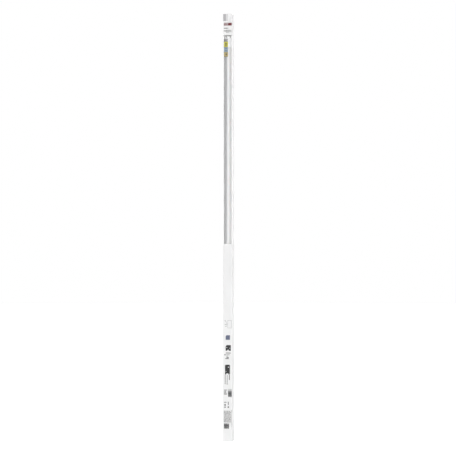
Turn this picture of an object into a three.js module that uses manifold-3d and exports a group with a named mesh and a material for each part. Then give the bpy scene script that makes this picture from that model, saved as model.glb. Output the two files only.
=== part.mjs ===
// A two-pin LED tube with turning end caps, in its paperboard carton with a long front window.
// Millimetres, +Z up, origin at the middle of the carton's base, the window facing -Y.
import * as THREE from "three";
import { mergeVertices } from "three/addons/utils/BufferGeometryUtils.js";
import Module from "manifold-3d";

const wasm = await Module();
wasm.setup();

// ---------------------------------------------------------------- driving dimensions

// Carton
const CARTON_SIDE = 28;
const CARTON_HEIGHT = 1280;
const BOARD = 0.5;
const HALF = CARTON_SIDE / 2;
const INNER = HALF - BOARD;
const GLUE_FLAP_FROM = 3;
const GLUE_FLAP_END_GAP = 8;
const WINDOW = { left: -10.9, right: 12.5, bottom: 590.5, top: 1216.5 };
const FILM = 0.2;
const FILM_MARGIN = { side: 1.5, end: 8 };

// Bottom closure: the lid folds along the back panel's foot, the dust flaps along the side panels
const LID = { halfWidth: 13.3, front: -13.2, back: 13.9 };
const BACK_PANEL_LIFT = 0.7;
const TONGUE = { lift: 0.15, height: 7.8, corner: 2, tilt: THREE.MathUtils.degToRad(10) };
const DUST_FLAP = { root: 13.1, tip: 1.5, front: -12.1, frontTip: -9.2, back: 13.2, low: 0.65 };

// End insert, which closes the mouth and carries the starter
const INSERT = { halfWidth: 12.7, halfDepth: 13, topHalfWidth: 13.2, topDrop: 0.1, bottom: 1217 };
const COLLAR_SHELF = { lift: 23, holeRadius: 11.05 };

// Starter, measured up from the foot of its can
const STARTER = { radius: 10.75, wall: 0.7, length: 35, chamfer: 1, lift: 0.3 };
const STARTER_BASE = { gap: 0.1, thickness: 3, plugDepth: 4, plugGap: 0.2 };
const STARTER_PIN = { spacing: 12.7, neckRadius: 1.6, neck: 2, headRadius: 2.5, length: 4.6, tail: 3 };
const STARTER_FUSE = { radius: 1.6, from: 8, length: 15 };

// Tube
const TUBE_TURN = THREE.MathUtils.degToRad(7);
const CAP_TO_CAP = 1199.4;
const BOTTOM_CAP_FACE = 8.9;
const TUBE_RADIUS = 12.2;
const HEAT_SINK_WALL = 1;
const WEB = { front: -1.4, back: -2.4 };
const SEAM = 0.05;
const DIFFUSER_WALL = 0.9;
const SNAP_LEG = { inner: 10.4, outer: 11, depth: 0.9, foot: 1 };
const LED_BOARD = { front: -0.1, back: -1.1, halfWidth: 10, endGap: 6 };
const TAPE = { front: -1.15, back: -1.3, halfWidth: 9.5 };
const LED = { count: 72, pitch: 16, length: 3.5, halfWidth: 1.4, base: -0.05, skin: 0.05, face: 0.75 };

// End fittings, measured outward from the end of the tube's profile
const CAP_RADIUS = 13;
const FITTING_LENGTH = 18;
const COLLAR = { innerRadius: 12.35, overlap: 10, bulkhead: 7, face: 8.5, holeRadius: 5.3 };
const CAP = { skirt: 8.8, skirtInner: 11.8, disc: 15.8, chamfer: 0.8 };
const HUB = { inner: 3.6, outer: 5, lipRadius: 6.2, lipFrom: 5.4, lipTo: 6.7 };
const PIN = { radius: 1.175, spacing: 12.7, length: 7.1, tail: 5, clearance: 0.25, roundness: 0.5 };
const CAP_REST_TURN = THREE.MathUtils.degToRad(-25);
const SCREW = { fromEnd: 5, sunk: 0.1, headRadius: 1.6, shankRadius: 0.9, headDepth: 0.5, length: 3 };
const SCREW_ANGLE = THREE.MathUtils.degToRad(45);
const SCREW_CLEARANCE = 0.3;
const SCREW_BORE = [9, 15];

// Driver, in the hollow behind the web. Along its board, z = 0 is the end nearer the top cap.
const DRIVER = { top: -16, length: 168, front: -3.2, back: -4.2, halfWidth: 8.5, seatGap: 0.1 };
const SLEEVE = { radius: 10.95, front: -2.6, wall: 0.3, overhang: 6 };
const CHOKE = { z: -36, flangeRadius: 3.4, coreRadius: 2.2, flange: 1, height: 5 };
const TRANSFORMER = { z: -102, width: 8.8, long: 14, height: 5.2, limb: 0.8, endLimb: 0.4 };
const WINDING = { width: 6.8, long: 18, gap: 0.2 };
const LEAD_RADIUS = 0.7;

// Sides of the round pieces
const ROUND = 32;
const COLLAR_ROUND = 40;
const SMALL_ROUND = 12;
const CAN_ROUND = 16;
const LEAD_ROUND = 8;

// ---------------------------------------------------------------- materials

const finish = (color, roughness, metalness = 0, more = {}) =>
  new THREE.MeshStandardMaterial({ color, roughness, metalness, ...more });

const paperboard = finish(0xf4f4f3, 0.7);
const greyBoard = finish(0xe9e8e4, 0.85);
const clearFilm = finish(0xffffff, 0.1, 0, { transparent: true, opacity: 0.2 });
const satinAluminium = finish(0xbfc0c2, 0.38, 0.9);
const opalPlastic = finish(0xf1f1ee, 0.45);
const whitePlastic = finish(0xe6e6e6, 0.4);
const nickel = finish(0xc9c8c4, 0.28, 1);
const screwSteel = finish(0xa8a9ab, 0.35, 1);
const whiteSolderMask = finish(0xf2f3f0, 0.4);
const ledYellow = finish(0xf2dc74, 0.35);
const greyTape = finish(0x8d9196, 0.8);
const greenBoard = finish(0x2f6b45, 0.45);
const clearSleeve = finish(0xd9e4ea, 0.3, 0, { transparent: true, opacity: 0.5 });
const ferrite = finish(0x3a3b3e, 0.6);
const windingTape = finish(0xd8b23a, 0.5);
const capacitorSleeve = finish(0x2b2f38, 0.35);
const filmRed = finish(0x9b3b2c, 0.4);
const chipBlack = finish(0x222326, 0.5);
const varistorBlue = finish(0x3f6f9f, 0.45);
const resistorTan = finish(0xc9b189, 0.5);
const redLead = finish(0xb3352b, 0.5);
const blackLead = finish(0x2a2a2c, 0.5);
const fuseGlass = finish(0xdfe8ea, 0.1);

// ---------------------------------------------------------------- driver parts

// Square parts on the driver board: middle across and along it, width, length and height.
const DRIVER_BLOCKS = [
  { name: "driver_varistor", y: 3.6, z: -10, width: 5.5, long: 3.4, height: 4, material: varistorBlue },
  { name: "driver_film_capacitor", y: 0, z: -24, width: 9, long: 6, height: 5, material: filmRed },
  { name: "driver_rectifier", y: 0, z: -47, width: 6, long: 5, height: 2.4, material: chipBlack },
  { name: "driver_control_chip", y: 0, z: -84, width: 5, long: 4.9, height: 1.6, material: chipBlack },
];

// Round parts lying along the board.
const DRIVER_CANS = [
  { name: "driver_fusible_resistor", y: -5, z: -10, radius: 1.6, long: 9, material: resistorTan },
  { name: "driver_input_capacitor", y: 0, z: -66, radius: 2.9, long: 22, material: capacitorSleeve },
  { name: "driver_output_capacitor", y: 0, z: -132, radius: 2.9, long: 16, material: capacitorSleeve },
];

// ---------------------------------------------------------------- geometry helpers

const object = new THREE.Group();

function addPart(parent, name, geometry, material) {
  const mesh = new THREE.Mesh(geometry, material);
  mesh.name = name;
  parent.add(mesh);
  return mesh;
}

function slab([x0, x1], [y0, y1], [z0, z1]) {
  const box = new THREE.BoxGeometry(x1 - x0, y1 - y0, z1 - z0);
  return box.translate((x0 + x1) / 2, (y0 + y1) / 2, (z0 + z1) / 2);
}

function extruded(shape, from, to, curveSegments = CAN_ROUND) {
  const options = { depth: to - from, bevelEnabled: false, curveSegments };
  return new THREE.ExtrudeGeometry(shape, options).translate(0, 0, from);
}

function outline(points) {
  return new THREE.Shape(points.map(([x, y]) => new THREE.Vector2(x, y)));
}

// A profile of [radius, height] points, turned about Z.
function turned(profile, sides = ROUND) {
  const points = profile.map(([r, z]) => new THREE.Vector2(r, z));
  return new THREE.LatheGeometry(points, sides).rotateX(Math.PI / 2);
}

function rod(radius, from, to, sides = SMALL_ROUND) {
  return turned([[0, from], [radius, from], [radius, to], [0, to]], sides);
}

function solidOf(geometry) {
  const bare = geometry.clone();
  bare.deleteAttribute("normal");
  bare.deleteAttribute("uv");
  const merged = mergeVertices(bare, 1e-4);
  const vertProperties = new Float32Array(merged.attributes.position.array);
  const triVerts = new Uint32Array(merged.index.array);
  return new wasm.Manifold(new wasm.Mesh({ numProp: 3, vertProperties, triVerts }));
}

function geometryOf(solid) {
  const { vertProperties, triVerts } = solid.getMesh();
  const geometry = new THREE.BufferGeometry();
  geometry.setAttribute("position", new THREE.BufferAttribute(vertProperties, 3));
  geometry.setIndex(new THREE.BufferAttribute(triVerts, 1));
  return geometry;
}

function cut(geometry, ...tools) {
  const solid = tools.reduce((left, tool) => left.subtract(solidOf(tool)), solidOf(geometry));
  return geometryOf(solid);
}

// An insulated wire along a smooth curve through the points.
function lead(points, steps) {
  const section = outline(Array.from({ length: LEAD_ROUND }, (_, i) => {
    const angle = (2 * Math.PI * i) / LEAD_ROUND;
    return [LEAD_RADIUS * Math.cos(angle), LEAD_RADIUS * Math.sin(angle)];
  }));
  const extrudePath = new THREE.CatmullRomCurve3(points.map((p) => new THREE.Vector3(...p)));
  return new THREE.ExtrudeGeometry(section, { steps, extrudePath });
}

// ---------------------------------------------------------------- carton

function addCarton() {
  const full = [0, CARTON_HEIGHT];

  const front = outline([[-HALF, 0], [HALF, 0], [HALF, CARTON_HEIGHT], [-HALF, CARTON_HEIGHT]]);
  const { left, right, bottom, top } = WINDOW;
  const corners = [[left, bottom], [left, top], [right, top], [right, bottom]];
  front.holes.push(outline(corners));
  const frontPanel = extruded(front, INNER, HALF).rotateX(Math.PI / 2);
  addPart(object, "carton_front_panel", frontPanel, paperboard);

  addPart(object, "carton_right_panel", slab([INNER, HALF], [-INNER, INNER], full), paperboard);
  addPart(object, "carton_left_panel", slab([-HALF, -INNER], [-INNER, INNER], full), paperboard);
  const backSpan = [BACK_PANEL_LIFT, CARTON_HEIGHT];
  addPart(object, "carton_back_panel", slab([-HALF, HALF], [INNER, HALF], backSpan), paperboard);

  const flapSpan = [GLUE_FLAP_END_GAP, CARTON_HEIGHT - GLUE_FLAP_END_GAP];
  const flap = slab([-INNER, -INNER + BOARD], [GLUE_FLAP_FROM, INNER - 0.1], flapSpan);
  addPart(object, "carton_glue_flap", flap, greyBoard);

  const film = slab(
    [left - FILM_MARGIN.side, INNER - 0.1],
    [-INNER, -INNER + FILM],
    [bottom - FILM_MARGIN.end, top + FILM_MARGIN.end],
  );
  addPart(object, "window_film", film, clearFilm);
}

function addBottomClosure() {
  const { halfWidth, front, back } = LID;
  const lid = slab([-halfWidth, halfWidth], [front, back], [0, BOARD]);
  addPart(object, "bottom_lid_panel", lid, paperboard);

  // The tongue leans in from the fold, so that it clears the front panel as the lid swings.
  const { lift, height, corner, tilt } = TONGUE;
  const tip = halfWidth - corner;
  const tongue = outline([
    [-halfWidth, 0], [halfWidth, 0], [halfWidth, height - corner],
    [tip, height], [-tip, height], [-halfWidth, height - corner],
  ]);
  const plate = extruded(tongue, -BOARD, 0).rotateX(Math.PI / 2 - tilt);
  addPart(object, "bottom_lid_tongue", plate, paperboard).position.set(0, front, BOARD + lift);

  // The corner beside the lid's fold is cut at 45 degrees, which keeps each flap above the lid.
  const flap = DUST_FLAP;
  const bevel = flap.root - flap.tip;
  for (const [side, sign] of [["left", -1], ["right", 1]]) {
    const points = [
      [flap.root, flap.front], [flap.root, flap.back],
      [flap.tip, flap.back - bevel], [flap.tip, flap.frontTip],
    ];
    const plan = outline(points.map(([x, y]) => [sign * x, y]));
    addPart(object, `dust_flap_${side}`, extruded(plan, flap.low, flap.low + BOARD), greyBoard);
  }
}

// ---------------------------------------------------------------- end insert and starter

function addEndInsert() {
  const { halfWidth, halfDepth, topHalfWidth, topDrop, bottom } = INSERT;
  const top = CARTON_HEIGHT - topDrop;
  const underTop = top - BOARD;
  const depth = [-halfDepth, halfDepth];
  const topPanel = slab([-topHalfWidth, topHalfWidth], depth, [underTop, top]);
  addPart(object, "insert_top_panel", topPanel, paperboard);

  const legInner = halfWidth - BOARD;
  const legSpan = [bottom + BOARD, underTop];
  addPart(object, "insert_right_leg", slab([legInner, halfWidth], depth, legSpan), greyBoard);
  addPart(object, "insert_left_leg", slab([-halfWidth, -legInner], depth, legSpan), greyBoard);
  const bottomShelf = slab([-halfWidth, halfWidth], depth, [bottom, bottom + BOARD]);
  addPart(object, "insert_bottom_shelf", bottomShelf, greyBoard);

  const shelf = outline([
    [-legInner, -halfDepth], [legInner, -halfDepth], [legInner, halfDepth], [-legInner, halfDepth],
  ]);
  const hole = new THREE.Path();
  hole.absarc(0, 0, COLLAR_SHELF.holeRadius, 0, 2 * Math.PI, true);
  shelf.holes.push(hole);
  const shelfLow = bottom + COLLAR_SHELF.lift;
  addPart(object, "insert_collar_shelf", extruded(shelf, shelfLow, shelfLow + BOARD), greyBoard);
}

function addStarter() {
  const starter = new THREE.Group();
  starter.position.z = INSERT.bottom + BOARD + STARTER.lift;
  object.add(starter);

  const { radius, wall, length, chamfer } = STARTER;
  const inner = radius - wall;
  const can = turned([
    [0, 0], [radius - chamfer, 0], [radius, chamfer], [radius, length],
    [inner, length], [inner, wall], [0, wall],
  ]);
  addPart(starter, "starter_can", can, whitePlastic);

  const seat = length + STARTER_BASE.gap;
  const plugFoot = seat - STARTER_BASE.plugDepth;
  const plug = inner - STARTER_BASE.plugGap;
  const baseTop = seat + STARTER_BASE.thickness;
  const base = turned([
    [0, plugFoot], [plug, plugFoot], [plug, seat], [radius, seat], [radius, baseTop], [0, baseTop],
  ]);
  const pin = STARTER_PIN;
  const places = [["a", -pin.spacing / 2], ["b", pin.spacing / 2]];
  const holes = places.map(([, x]) =>
    rod(pin.neckRadius + PIN.clearance, plugFoot - 1, baseTop + 1).translate(x, 0, 0));
  addPart(starter, "starter_base", cut(base, ...holes), whitePlastic);

  const headFoot = baseTop + pin.neck;
  const pinTop = baseTop + pin.length;
  for (const [letter, x] of places) {
    const contact = turned([
      [0, seat - pin.tail], [pin.neckRadius, seat - pin.tail], [pin.neckRadius, headFoot],
      [pin.headRadius, headFoot + PIN.roundness], [pin.headRadius, pinTop - PIN.roundness],
      [pin.headRadius - PIN.roundness, pinTop], [0, pinTop],
    ], SMALL_ROUND);
    addPart(starter, `starter_pin_${letter}`, contact.translate(x, 0, 0), nickel);
  }

  const fuse = rod(STARTER_FUSE.radius, STARTER_FUSE.from, STARTER_FUSE.from + STARTER_FUSE.length);
  addPart(starter, "starter_fuse", fuse, fuseGlass);
}

// ---------------------------------------------------------------- tube profile and light source

// In the tube's own frame the LEDs face +X, the heat sink is the -X half and z = 0 is the profile's foot.
const PROFILE_LENGTH = CAP_TO_CAP - 2 * FITTING_LENGTH;
const angleAt = (x, radius) => Math.acos(x / radius);
const screwTurn = (sign) => Math.PI + sign * SCREW_ANGLE;

function heatSinkProfile() {
  const inner = TUBE_RADIUS - HEAT_SINK_WALL;
  const outerEnd = angleAt(-SEAM, TUBE_RADIUS);
  const innerEnd = angleAt(-SEAM, inner);
  const webFront = angleAt(WEB.front, inner);
  const webBack = angleAt(WEB.back, inner);
  const shape = new THREE.Shape();
  shape.absarc(0, 0, TUBE_RADIUS, outerEnd, -outerEnd + 2 * Math.PI, false);
  shape.absarc(0, 0, inner, -innerEnd, -webFront, true);
  shape.absarc(0, 0, inner, webFront, innerEnd, true);
  const hollow = new THREE.Path();
  hollow.absarc(0, 0, inner, -webBack, webBack - 2 * Math.PI, true);
  shape.holes.push(hollow);
  return shape;
}

function diffuserProfile() {
  const inner = TUBE_RADIUS - DIFFUSER_WALL;
  const outerEnd = angleAt(SEAM, TUBE_RADIUS);
  const footEnd = angleAt(SNAP_LEG.foot, inner);
  const shape = new THREE.Shape();
  shape.absarc(0, 0, TUBE_RADIUS, -outerEnd, outerEnd, false);
  shape.lineTo(SEAM, SNAP_LEG.outer);
  shape.lineTo(-SNAP_LEG.depth, SNAP_LEG.outer);
  shape.lineTo(-SNAP_LEG.depth, SNAP_LEG.inner);
  shape.lineTo(SNAP_LEG.foot, SNAP_LEG.inner);
  shape.absarc(0, 0, inner, footEnd, -footEnd, true);
  shape.lineTo(SNAP_LEG.foot, -SNAP_LEG.inner);
  shape.lineTo(-SNAP_LEG.depth, -SNAP_LEG.inner);
  shape.lineTo(-SNAP_LEG.depth, -SNAP_LEG.outer);
  shape.lineTo(SEAM, -SNAP_LEG.outer);
  return shape;
}

// The white mask skin and the LED packages on it, as one toothed strip.
function ledStrip() {
  const span = (LED.count - 1) * LED.pitch;
  const first = (PROFILE_LENGTH - span) / 2;
  const margin = LED.pitch / 2;
  const points = [[LED.base, first - margin], [LED.base, first + span + margin]];
  points.push([LED.skin, first + span + margin]);
  for (let i = LED.count - 1; i >= 0; i -= 1) {
    const low = first + i * LED.pitch - LED.length / 2;
    const high = low + LED.length;
    points.push([LED.skin, high], [LED.face, high], [LED.face, low], [LED.skin, low]);
  }
  points.push([LED.skin, first - margin]);
  return extruded(outline(points), -LED.halfWidth, LED.halfWidth).rotateX(Math.PI / 2);
}

function addTubeProfile(tube) {
  const screwTools = [0, PROFILE_LENGTH].flatMap((end) => {
    const inward = end === 0 ? 1 : -1;
    const z = end + inward * SCREW.fromEnd;
    return [-1, 1].map((sign) => radialRod(SCREW.shankRadius + SCREW_CLEARANCE, SCREW_BORE, sign, z));
  });
  const heatSink = cut(extruded(heatSinkProfile(), 0, PROFILE_LENGTH), ...screwTools);
  addPart(tube, "heat_sink_profile", heatSink, satinAluminium);
  addPart(tube, "diffuser", extruded(diffuserProfile(), 0, PROFILE_LENGTH), opalPlastic);

  const boardSpan = [LED_BOARD.endGap, PROFILE_LENGTH - LED_BOARD.endGap];
  const board = slab(
    [LED_BOARD.back, LED_BOARD.front], [-LED_BOARD.halfWidth, LED_BOARD.halfWidth], boardSpan);
  addPart(tube, "led_board", board, whiteSolderMask);
  const tape = slab([TAPE.back, TAPE.front], [-TAPE.halfWidth, TAPE.halfWidth], boardSpan);
  addPart(tube, "thermal_tape", tape, greyTape);
  addPart(tube, "led_strip", ledStrip(), ledYellow);
}

// A rod pointing outward from the tube's axis, on the heat sink's side.
function radialRod(radius, [from, to], sign, z) {
  return rod(radius, from, to).rotateY(Math.PI / 2).rotateZ(screwTurn(sign)).translate(0, 0, z);
}

// ---------------------------------------------------------------- end fittings

function collarGeometry() {
  const { innerRadius, overlap, bulkhead, face, holeRadius } = COLLAR;
  const ring = turned([
    [innerRadius, -overlap], [CAP_RADIUS, -overlap], [CAP_RADIUS, face],
    [holeRadius, face], [holeRadius, bulkhead], [innerRadius, bulkhead], [innerRadius, -overlap],
  ], COLLAR_ROUND);
  const holes = [-1, 1].map((sign) =>
    radialRod(SCREW.headRadius + SCREW_CLEARANCE, SCREW_BORE, sign, -SCREW.fromEnd));
  return cut(ring, ...holes);
}

function capGeometry() {
  const { skirt, skirtInner, disc, chamfer } = CAP;
  const shell = turned([
    [0, disc], [HUB.inner, disc], [HUB.inner, HUB.lipFrom], [HUB.lipRadius, HUB.lipFrom],
    [HUB.lipRadius, HUB.lipTo], [HUB.outer, HUB.lipTo], [HUB.outer, disc],
    [skirtInner, disc], [skirtInner, skirt], [CAP_RADIUS, skirt],
    [CAP_RADIUS, FITTING_LENGTH - chamfer], [CAP_RADIUS - chamfer, FITTING_LENGTH], [0, FITTING_LENGTH],
  ]);
  const holes = [-1, 1].map((sign) => {
    const hole = rod(PIN.radius + PIN.clearance, disc - 1, FITTING_LENGTH + 1);
    return hole.translate(sign * PIN.spacing / 2, 0, 0);
  });
  return cut(shell, ...holes);
}

function pinGeometry() {
  const tip = FITTING_LENGTH + PIN.length;
  const { radius, roundness, tail } = PIN;
  const profile = [
    [0, FITTING_LENGTH - tail], [radius, FITTING_LENGTH - tail],
    [radius, tip - roundness], [radius - roundness, tip], [0, tip],
  ];
  return turned(profile, SMALL_ROUND);
}

function screwGeometry(sign) {
  const head = CAP_RADIUS - SCREW.sunk;
  const { headRadius, headDepth, shankRadius, length } = SCREW;
  const neck = head - headDepth;
  const screw = turned([
    [0, head - length], [shankRadius, head - length], [shankRadius, neck],
    [headRadius, neck], [headRadius, head], [0, head],
  ], SMALL_ROUND);
  return screw.rotateY(Math.PI / 2).rotateZ(screwTurn(sign)).translate(0, 0, -SCREW.fromEnd);
}

function addEndFitting(tube, end) {
  const fitting = new THREE.Group();
  if (end === "top") {
    fitting.position.z = PROFILE_LENGTH;
  } else {
    fitting.rotation.x = Math.PI;
  }
  tube.add(fitting);

  addPart(fitting, `end_collar_${end}`, collarGeometry(), whitePlastic);
  for (const [letter, sign] of [["a", -1], ["b", 1]]) {
    addPart(fitting, `collar_screw_${end}_${letter}`, screwGeometry(sign), screwSteel);
  }

  const cap = new THREE.Group();
  cap.rotation.z = end === "top" ? CAP_REST_TURN : -CAP_REST_TURN;
  fitting.add(cap);
  addPart(cap, `end_cap_${end}_shell`, capGeometry(), whitePlastic);
  for (const [letter, sign] of [["a", -1], ["b", 1]]) {
    const pin = pinGeometry().translate(sign * PIN.spacing / 2, 0, 0);
    addPart(cap, `end_cap_${end}_pin_${letter}`, pin, nickel);
  }
}

// ---------------------------------------------------------------- driver

function sleeveProfile() {
  const shape = new THREE.Shape();
  const outer = angleAt(SLEEVE.front, SLEEVE.radius);
  shape.absarc(0, 0, SLEEVE.radius, outer, 2 * Math.PI - outer, false);
  const innerRadius = SLEEVE.radius - SLEEVE.wall;
  const inner = angleAt(SLEEVE.front - SLEEVE.wall, innerRadius);
  const hollow = new THREE.Path();
  hollow.absarc(0, 0, innerRadius, -inner, inner - 2 * Math.PI, true);
  shape.holes.push(hollow);
  return shape;
}

function addDriver(tube) {
  const driver = new THREE.Group();
  driver.position.z = PROFILE_LENGTH + DRIVER.top;
  tube.add(driver);

  const { front, back, halfWidth, length } = DRIVER;
  const board = slab([back, front], [-halfWidth, halfWidth], [-length, 0]);
  addPart(driver, "driver_board", board, greenBoard);
  const sleeve = extruded(sleeveProfile(), -length - SLEEVE.overhang, SLEEVE.overhang, 16);
  addPart(driver, "driver_insulation_sleeve", sleeve, clearSleeve);

  // Parts stand on the back of the board, towards -X.
  const seat = back - DRIVER.seatGap;
  const block = ({ y, z, width, long, height }) =>
    slab([seat - height, seat], [y - width / 2, y + width / 2], [z - long / 2, z + long / 2]);
  for (const part of DRIVER_BLOCKS) {
    addPart(driver, part.name, block(part), part.material);
  }
  for (const { name, y, z, radius, long, material } of DRIVER_CANS) {
    const can = rod(radius, z - long / 2, z + long / 2, CAN_ROUND).translate(seat - radius, y, 0);
    addPart(driver, name, can, material);
  }

  const { flangeRadius, coreRadius, flange, height } = CHOKE;
  const drum = turned([
    [0, 0], [flangeRadius, 0], [flangeRadius, flange], [coreRadius, flange],
    [coreRadius, height - flange], [flangeRadius, height - flange], [flangeRadius, height], [0, height],
  ], CAN_ROUND);
  const choke = drum.rotateY(-Math.PI / 2).translate(seat, 0, CHOKE.z);
  addPart(driver, "driver_choke", choke, ferrite);

  const { z, width, limb, endLimb } = TRANSFORMER;
  const coreBlock = block({ y: 0, ...TRANSFORMER });
  const windowSides = [-width / 2 + limb, width / 2 - limb];
  const windowDepth = [seat - TRANSFORMER.height + endLimb, seat - endLimb];
  const coreWindow = slab(windowDepth, windowSides, [z - WINDING.long, z + WINDING.long]);
  addPart(driver, "driver_transformer_core", cut(coreBlock, coreWindow), ferrite);
  const winding = slab(
    [windowDepth[0] + WINDING.gap, windowDepth[1] - WINDING.gap],
    [-WINDING.width / 2, WINDING.width / 2],
    [z - WINDING.long / 2, z + WINDING.long / 2],
  );
  addPart(driver, "driver_transformer_winding", winding, windingTape);

  // Supply leads run from the board's end into the hub of the turning cap.
  const end = -DRIVER.top;
  for (const [name, sign, material] of [["live", -1, redLead], ["neutral", 1, blackLead]]) {
    const route = [
      [-6, 2.6 * sign, -3], [-6.2, 2.4 * sign, 6], [-5.6, 1.9 * sign, end - 2],
      [-3.6, 1.5 * sign, end + 2.6], [-1.6, 1.3 * sign, end + 5.6], [-1, 1.2 * sign, end + 13],
    ];
    addPart(driver, `supply_lead_${name}`, lead(route, 14), material);
  }
  // LED leads turn over the end of the web and down to pads on the LED board.
  for (const [name, sign, material] of [["plus", -1, redLead], ["minus", 1, blackLead]]) {
    const y = 6 * sign;
    const route = [
      [-6, y, -2], [-6, y, 8], [-5, y, end - 1], [-3.9, y, end + 2.6],
      [-1.6, y, end + 3.9], [0.7, y, end + 2.6], [1.5, y, end - 1], [1.4, y, end - 9],
    ];
    addPart(driver, `led_lead_${name}`, lead(route, 18), material);
  }
}

// ---------------------------------------------------------------- assembly

addCarton();
addBottomClosure();
addEndInsert();
addStarter();

const tube = new THREE.Group();
tube.position.z = BOTTOM_CAP_FACE + FITTING_LENGTH;
tube.rotation.z = TUBE_TURN;
object.add(tube);
addTubeProfile(tube);
addEndFitting(tube, "top");
addEndFitting(tube, "bottom");
addDriver(tube);

export default object;
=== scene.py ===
"""Looks of an LED light tube in its window carton. Metres, +Z up, the window faces -Y.

The CAD frame gives every place and size. Lengths inside the script are in millimetres and
become metres as each mesh is finished.
"""
import math

import bmesh
import bpy
from mathutils import Matrix, Vector


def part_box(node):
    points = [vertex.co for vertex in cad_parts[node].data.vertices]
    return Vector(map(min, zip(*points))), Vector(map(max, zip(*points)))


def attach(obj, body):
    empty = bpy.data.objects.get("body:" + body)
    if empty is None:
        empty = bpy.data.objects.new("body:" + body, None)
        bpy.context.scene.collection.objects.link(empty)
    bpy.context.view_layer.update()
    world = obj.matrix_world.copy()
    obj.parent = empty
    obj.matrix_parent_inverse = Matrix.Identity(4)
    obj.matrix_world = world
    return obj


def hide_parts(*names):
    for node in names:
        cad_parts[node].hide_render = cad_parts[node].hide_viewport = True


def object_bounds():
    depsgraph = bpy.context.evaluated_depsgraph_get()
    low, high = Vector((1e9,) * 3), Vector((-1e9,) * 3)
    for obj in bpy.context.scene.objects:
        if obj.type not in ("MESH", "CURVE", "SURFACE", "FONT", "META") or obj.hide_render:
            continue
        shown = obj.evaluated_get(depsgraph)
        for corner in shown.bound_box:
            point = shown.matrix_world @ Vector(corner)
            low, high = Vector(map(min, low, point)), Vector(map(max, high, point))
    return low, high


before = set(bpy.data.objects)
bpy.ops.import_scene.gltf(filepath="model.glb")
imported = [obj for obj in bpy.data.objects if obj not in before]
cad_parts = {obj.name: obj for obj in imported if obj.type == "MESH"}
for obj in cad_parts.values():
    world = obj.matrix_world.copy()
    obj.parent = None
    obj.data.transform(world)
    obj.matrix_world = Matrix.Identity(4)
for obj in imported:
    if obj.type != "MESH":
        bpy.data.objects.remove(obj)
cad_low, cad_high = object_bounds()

MM = 0.001


def corners(node):
    """Lowest and highest corner of a CAD node, in millimetres."""
    low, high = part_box(node)
    return low / MM, high / MM


def middle(node):
    low, high = corners(node)
    return (low + high) / 2


def heights(node):
    """Where a CAD node starts and ends along Z, in millimetres."""
    low, high = corners(node)
    return low.z, high.z


def from_axis(node):
    """How far each point of a CAD node is from the tube's axis."""
    return [vert.co.xy.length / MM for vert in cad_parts[node].data.vertices]


def led_side():
    """The direction in which the diffuser faces, as an angle about the tube's axis."""
    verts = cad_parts["diffuser"].data.vertices
    sum_of_points = sum((vert.co for vert in verts), Vector())
    return math.atan2(sum_of_points.y, sum_of_points.x)


LED_ANGLE = led_side()
TUBE_TURN = Matrix.Rotation(LED_ANGLE, 4, "Z")


def tube_corners(node):
    """Lowest and highest corner of a CAD node in the tube's own turned frame."""
    back = TUBE_TURN.inverted()
    points = [back @ vert.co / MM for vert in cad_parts[node].data.vertices]
    low = Vector(min(p[axis] for p in points) for axis in range(3))
    high = Vector(max(p[axis] for p in points) for axis in range(3))
    return low, high


def halfway(low, high):
    """The point between two corners."""
    return [(a + b) / 2 for a, b in zip(low, high)]


def add_object(name, data):
    made = bpy.data.objects.new(name, data)
    bpy.context.scene.collection.objects.link(made)
    return made


# ---- camera

AZIMUTH = math.radians(12.5)
DISTANCE = 5.0
SENSOR = 36
MM_PER_PIXEL = 3.005
IMAGE_PIXELS = 456
AIM_RIGHT = -1.5
AIM_HEIGHT = 638.2


def add_camera():
    data = bpy.data.cameras.new("camera")
    data.sensor_width = SENSOR
    data.lens = SENSOR * DISTANCE / MM / MM_PER_PIXEL / IMAGE_PIXELS
    camera = add_object("camera", data)
    right = Vector((math.cos(AZIMUTH), math.sin(AZIMUTH), 0))
    back = Vector((math.sin(AZIMUTH), -math.cos(AZIMUTH), 0))
    camera.location = back * DISTANCE + (right * AIM_RIGHT + Vector((0, 0, AIM_HEIGHT))) * MM
    camera.rotation_mode = "QUATERNION"
    camera.rotation_quaternion = (-back).to_track_quat("-Z", "Y")
    bpy.context.scene.camera = camera


# ---- material helpers


def feed(tree, made, inputs):
    """Sets a node's sockets to plain values, or links them to other nodes' outputs."""
    for socket, value in inputs.items():
        if isinstance(value, bpy.types.NodeSocket):
            tree.links.new(value, made.inputs[socket])
        else:
            made.inputs[socket].default_value = value


def node(tree, kind, inputs, **settings):
    made = tree.nodes.new(kind)
    for key, value in settings.items():
        setattr(made, key, value)
    feed(tree, made, inputs)
    return made


def noise(tree, scale, stretch=(1, 1, 1), detail=4.0):
    """Noise with that many features per metre of the piece's own coordinates."""
    own = node(tree, "ShaderNodeTexCoord", {}).outputs["Object"]
    place = node(tree, "ShaderNodeMapping", {"Vector": own, "Scale": stretch}).outputs["Vector"]
    inputs = {"Vector": place, "Scale": scale, "Detail": detail}
    return node(tree, "ShaderNodeTexNoise", inputs).outputs["Fac"]


def ramp(tree, factor, low, high, start=0.3, end=0.7):
    made = node(tree, "ShaderNodeValToRGB", {"Fac": factor})
    first, last = made.color_ramp.elements
    first.position, last.position = start, end
    first.color, last.color = (*low, 1), (*high, 1)
    return made.outputs["Color"]


def spread(tree, factor, low, high):
    inputs = {"Value": factor, "To Min": low, "To Max": high}
    return node(tree, "ShaderNodeMapRange", inputs).outputs["Result"]


def shade(color, factor):
    return tuple(min(1.0, channel * factor) for channel in color)


def new_material(name):
    material = bpy.data.materials.new(name)
    material.use_nodes = True
    return material, material.node_tree


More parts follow.
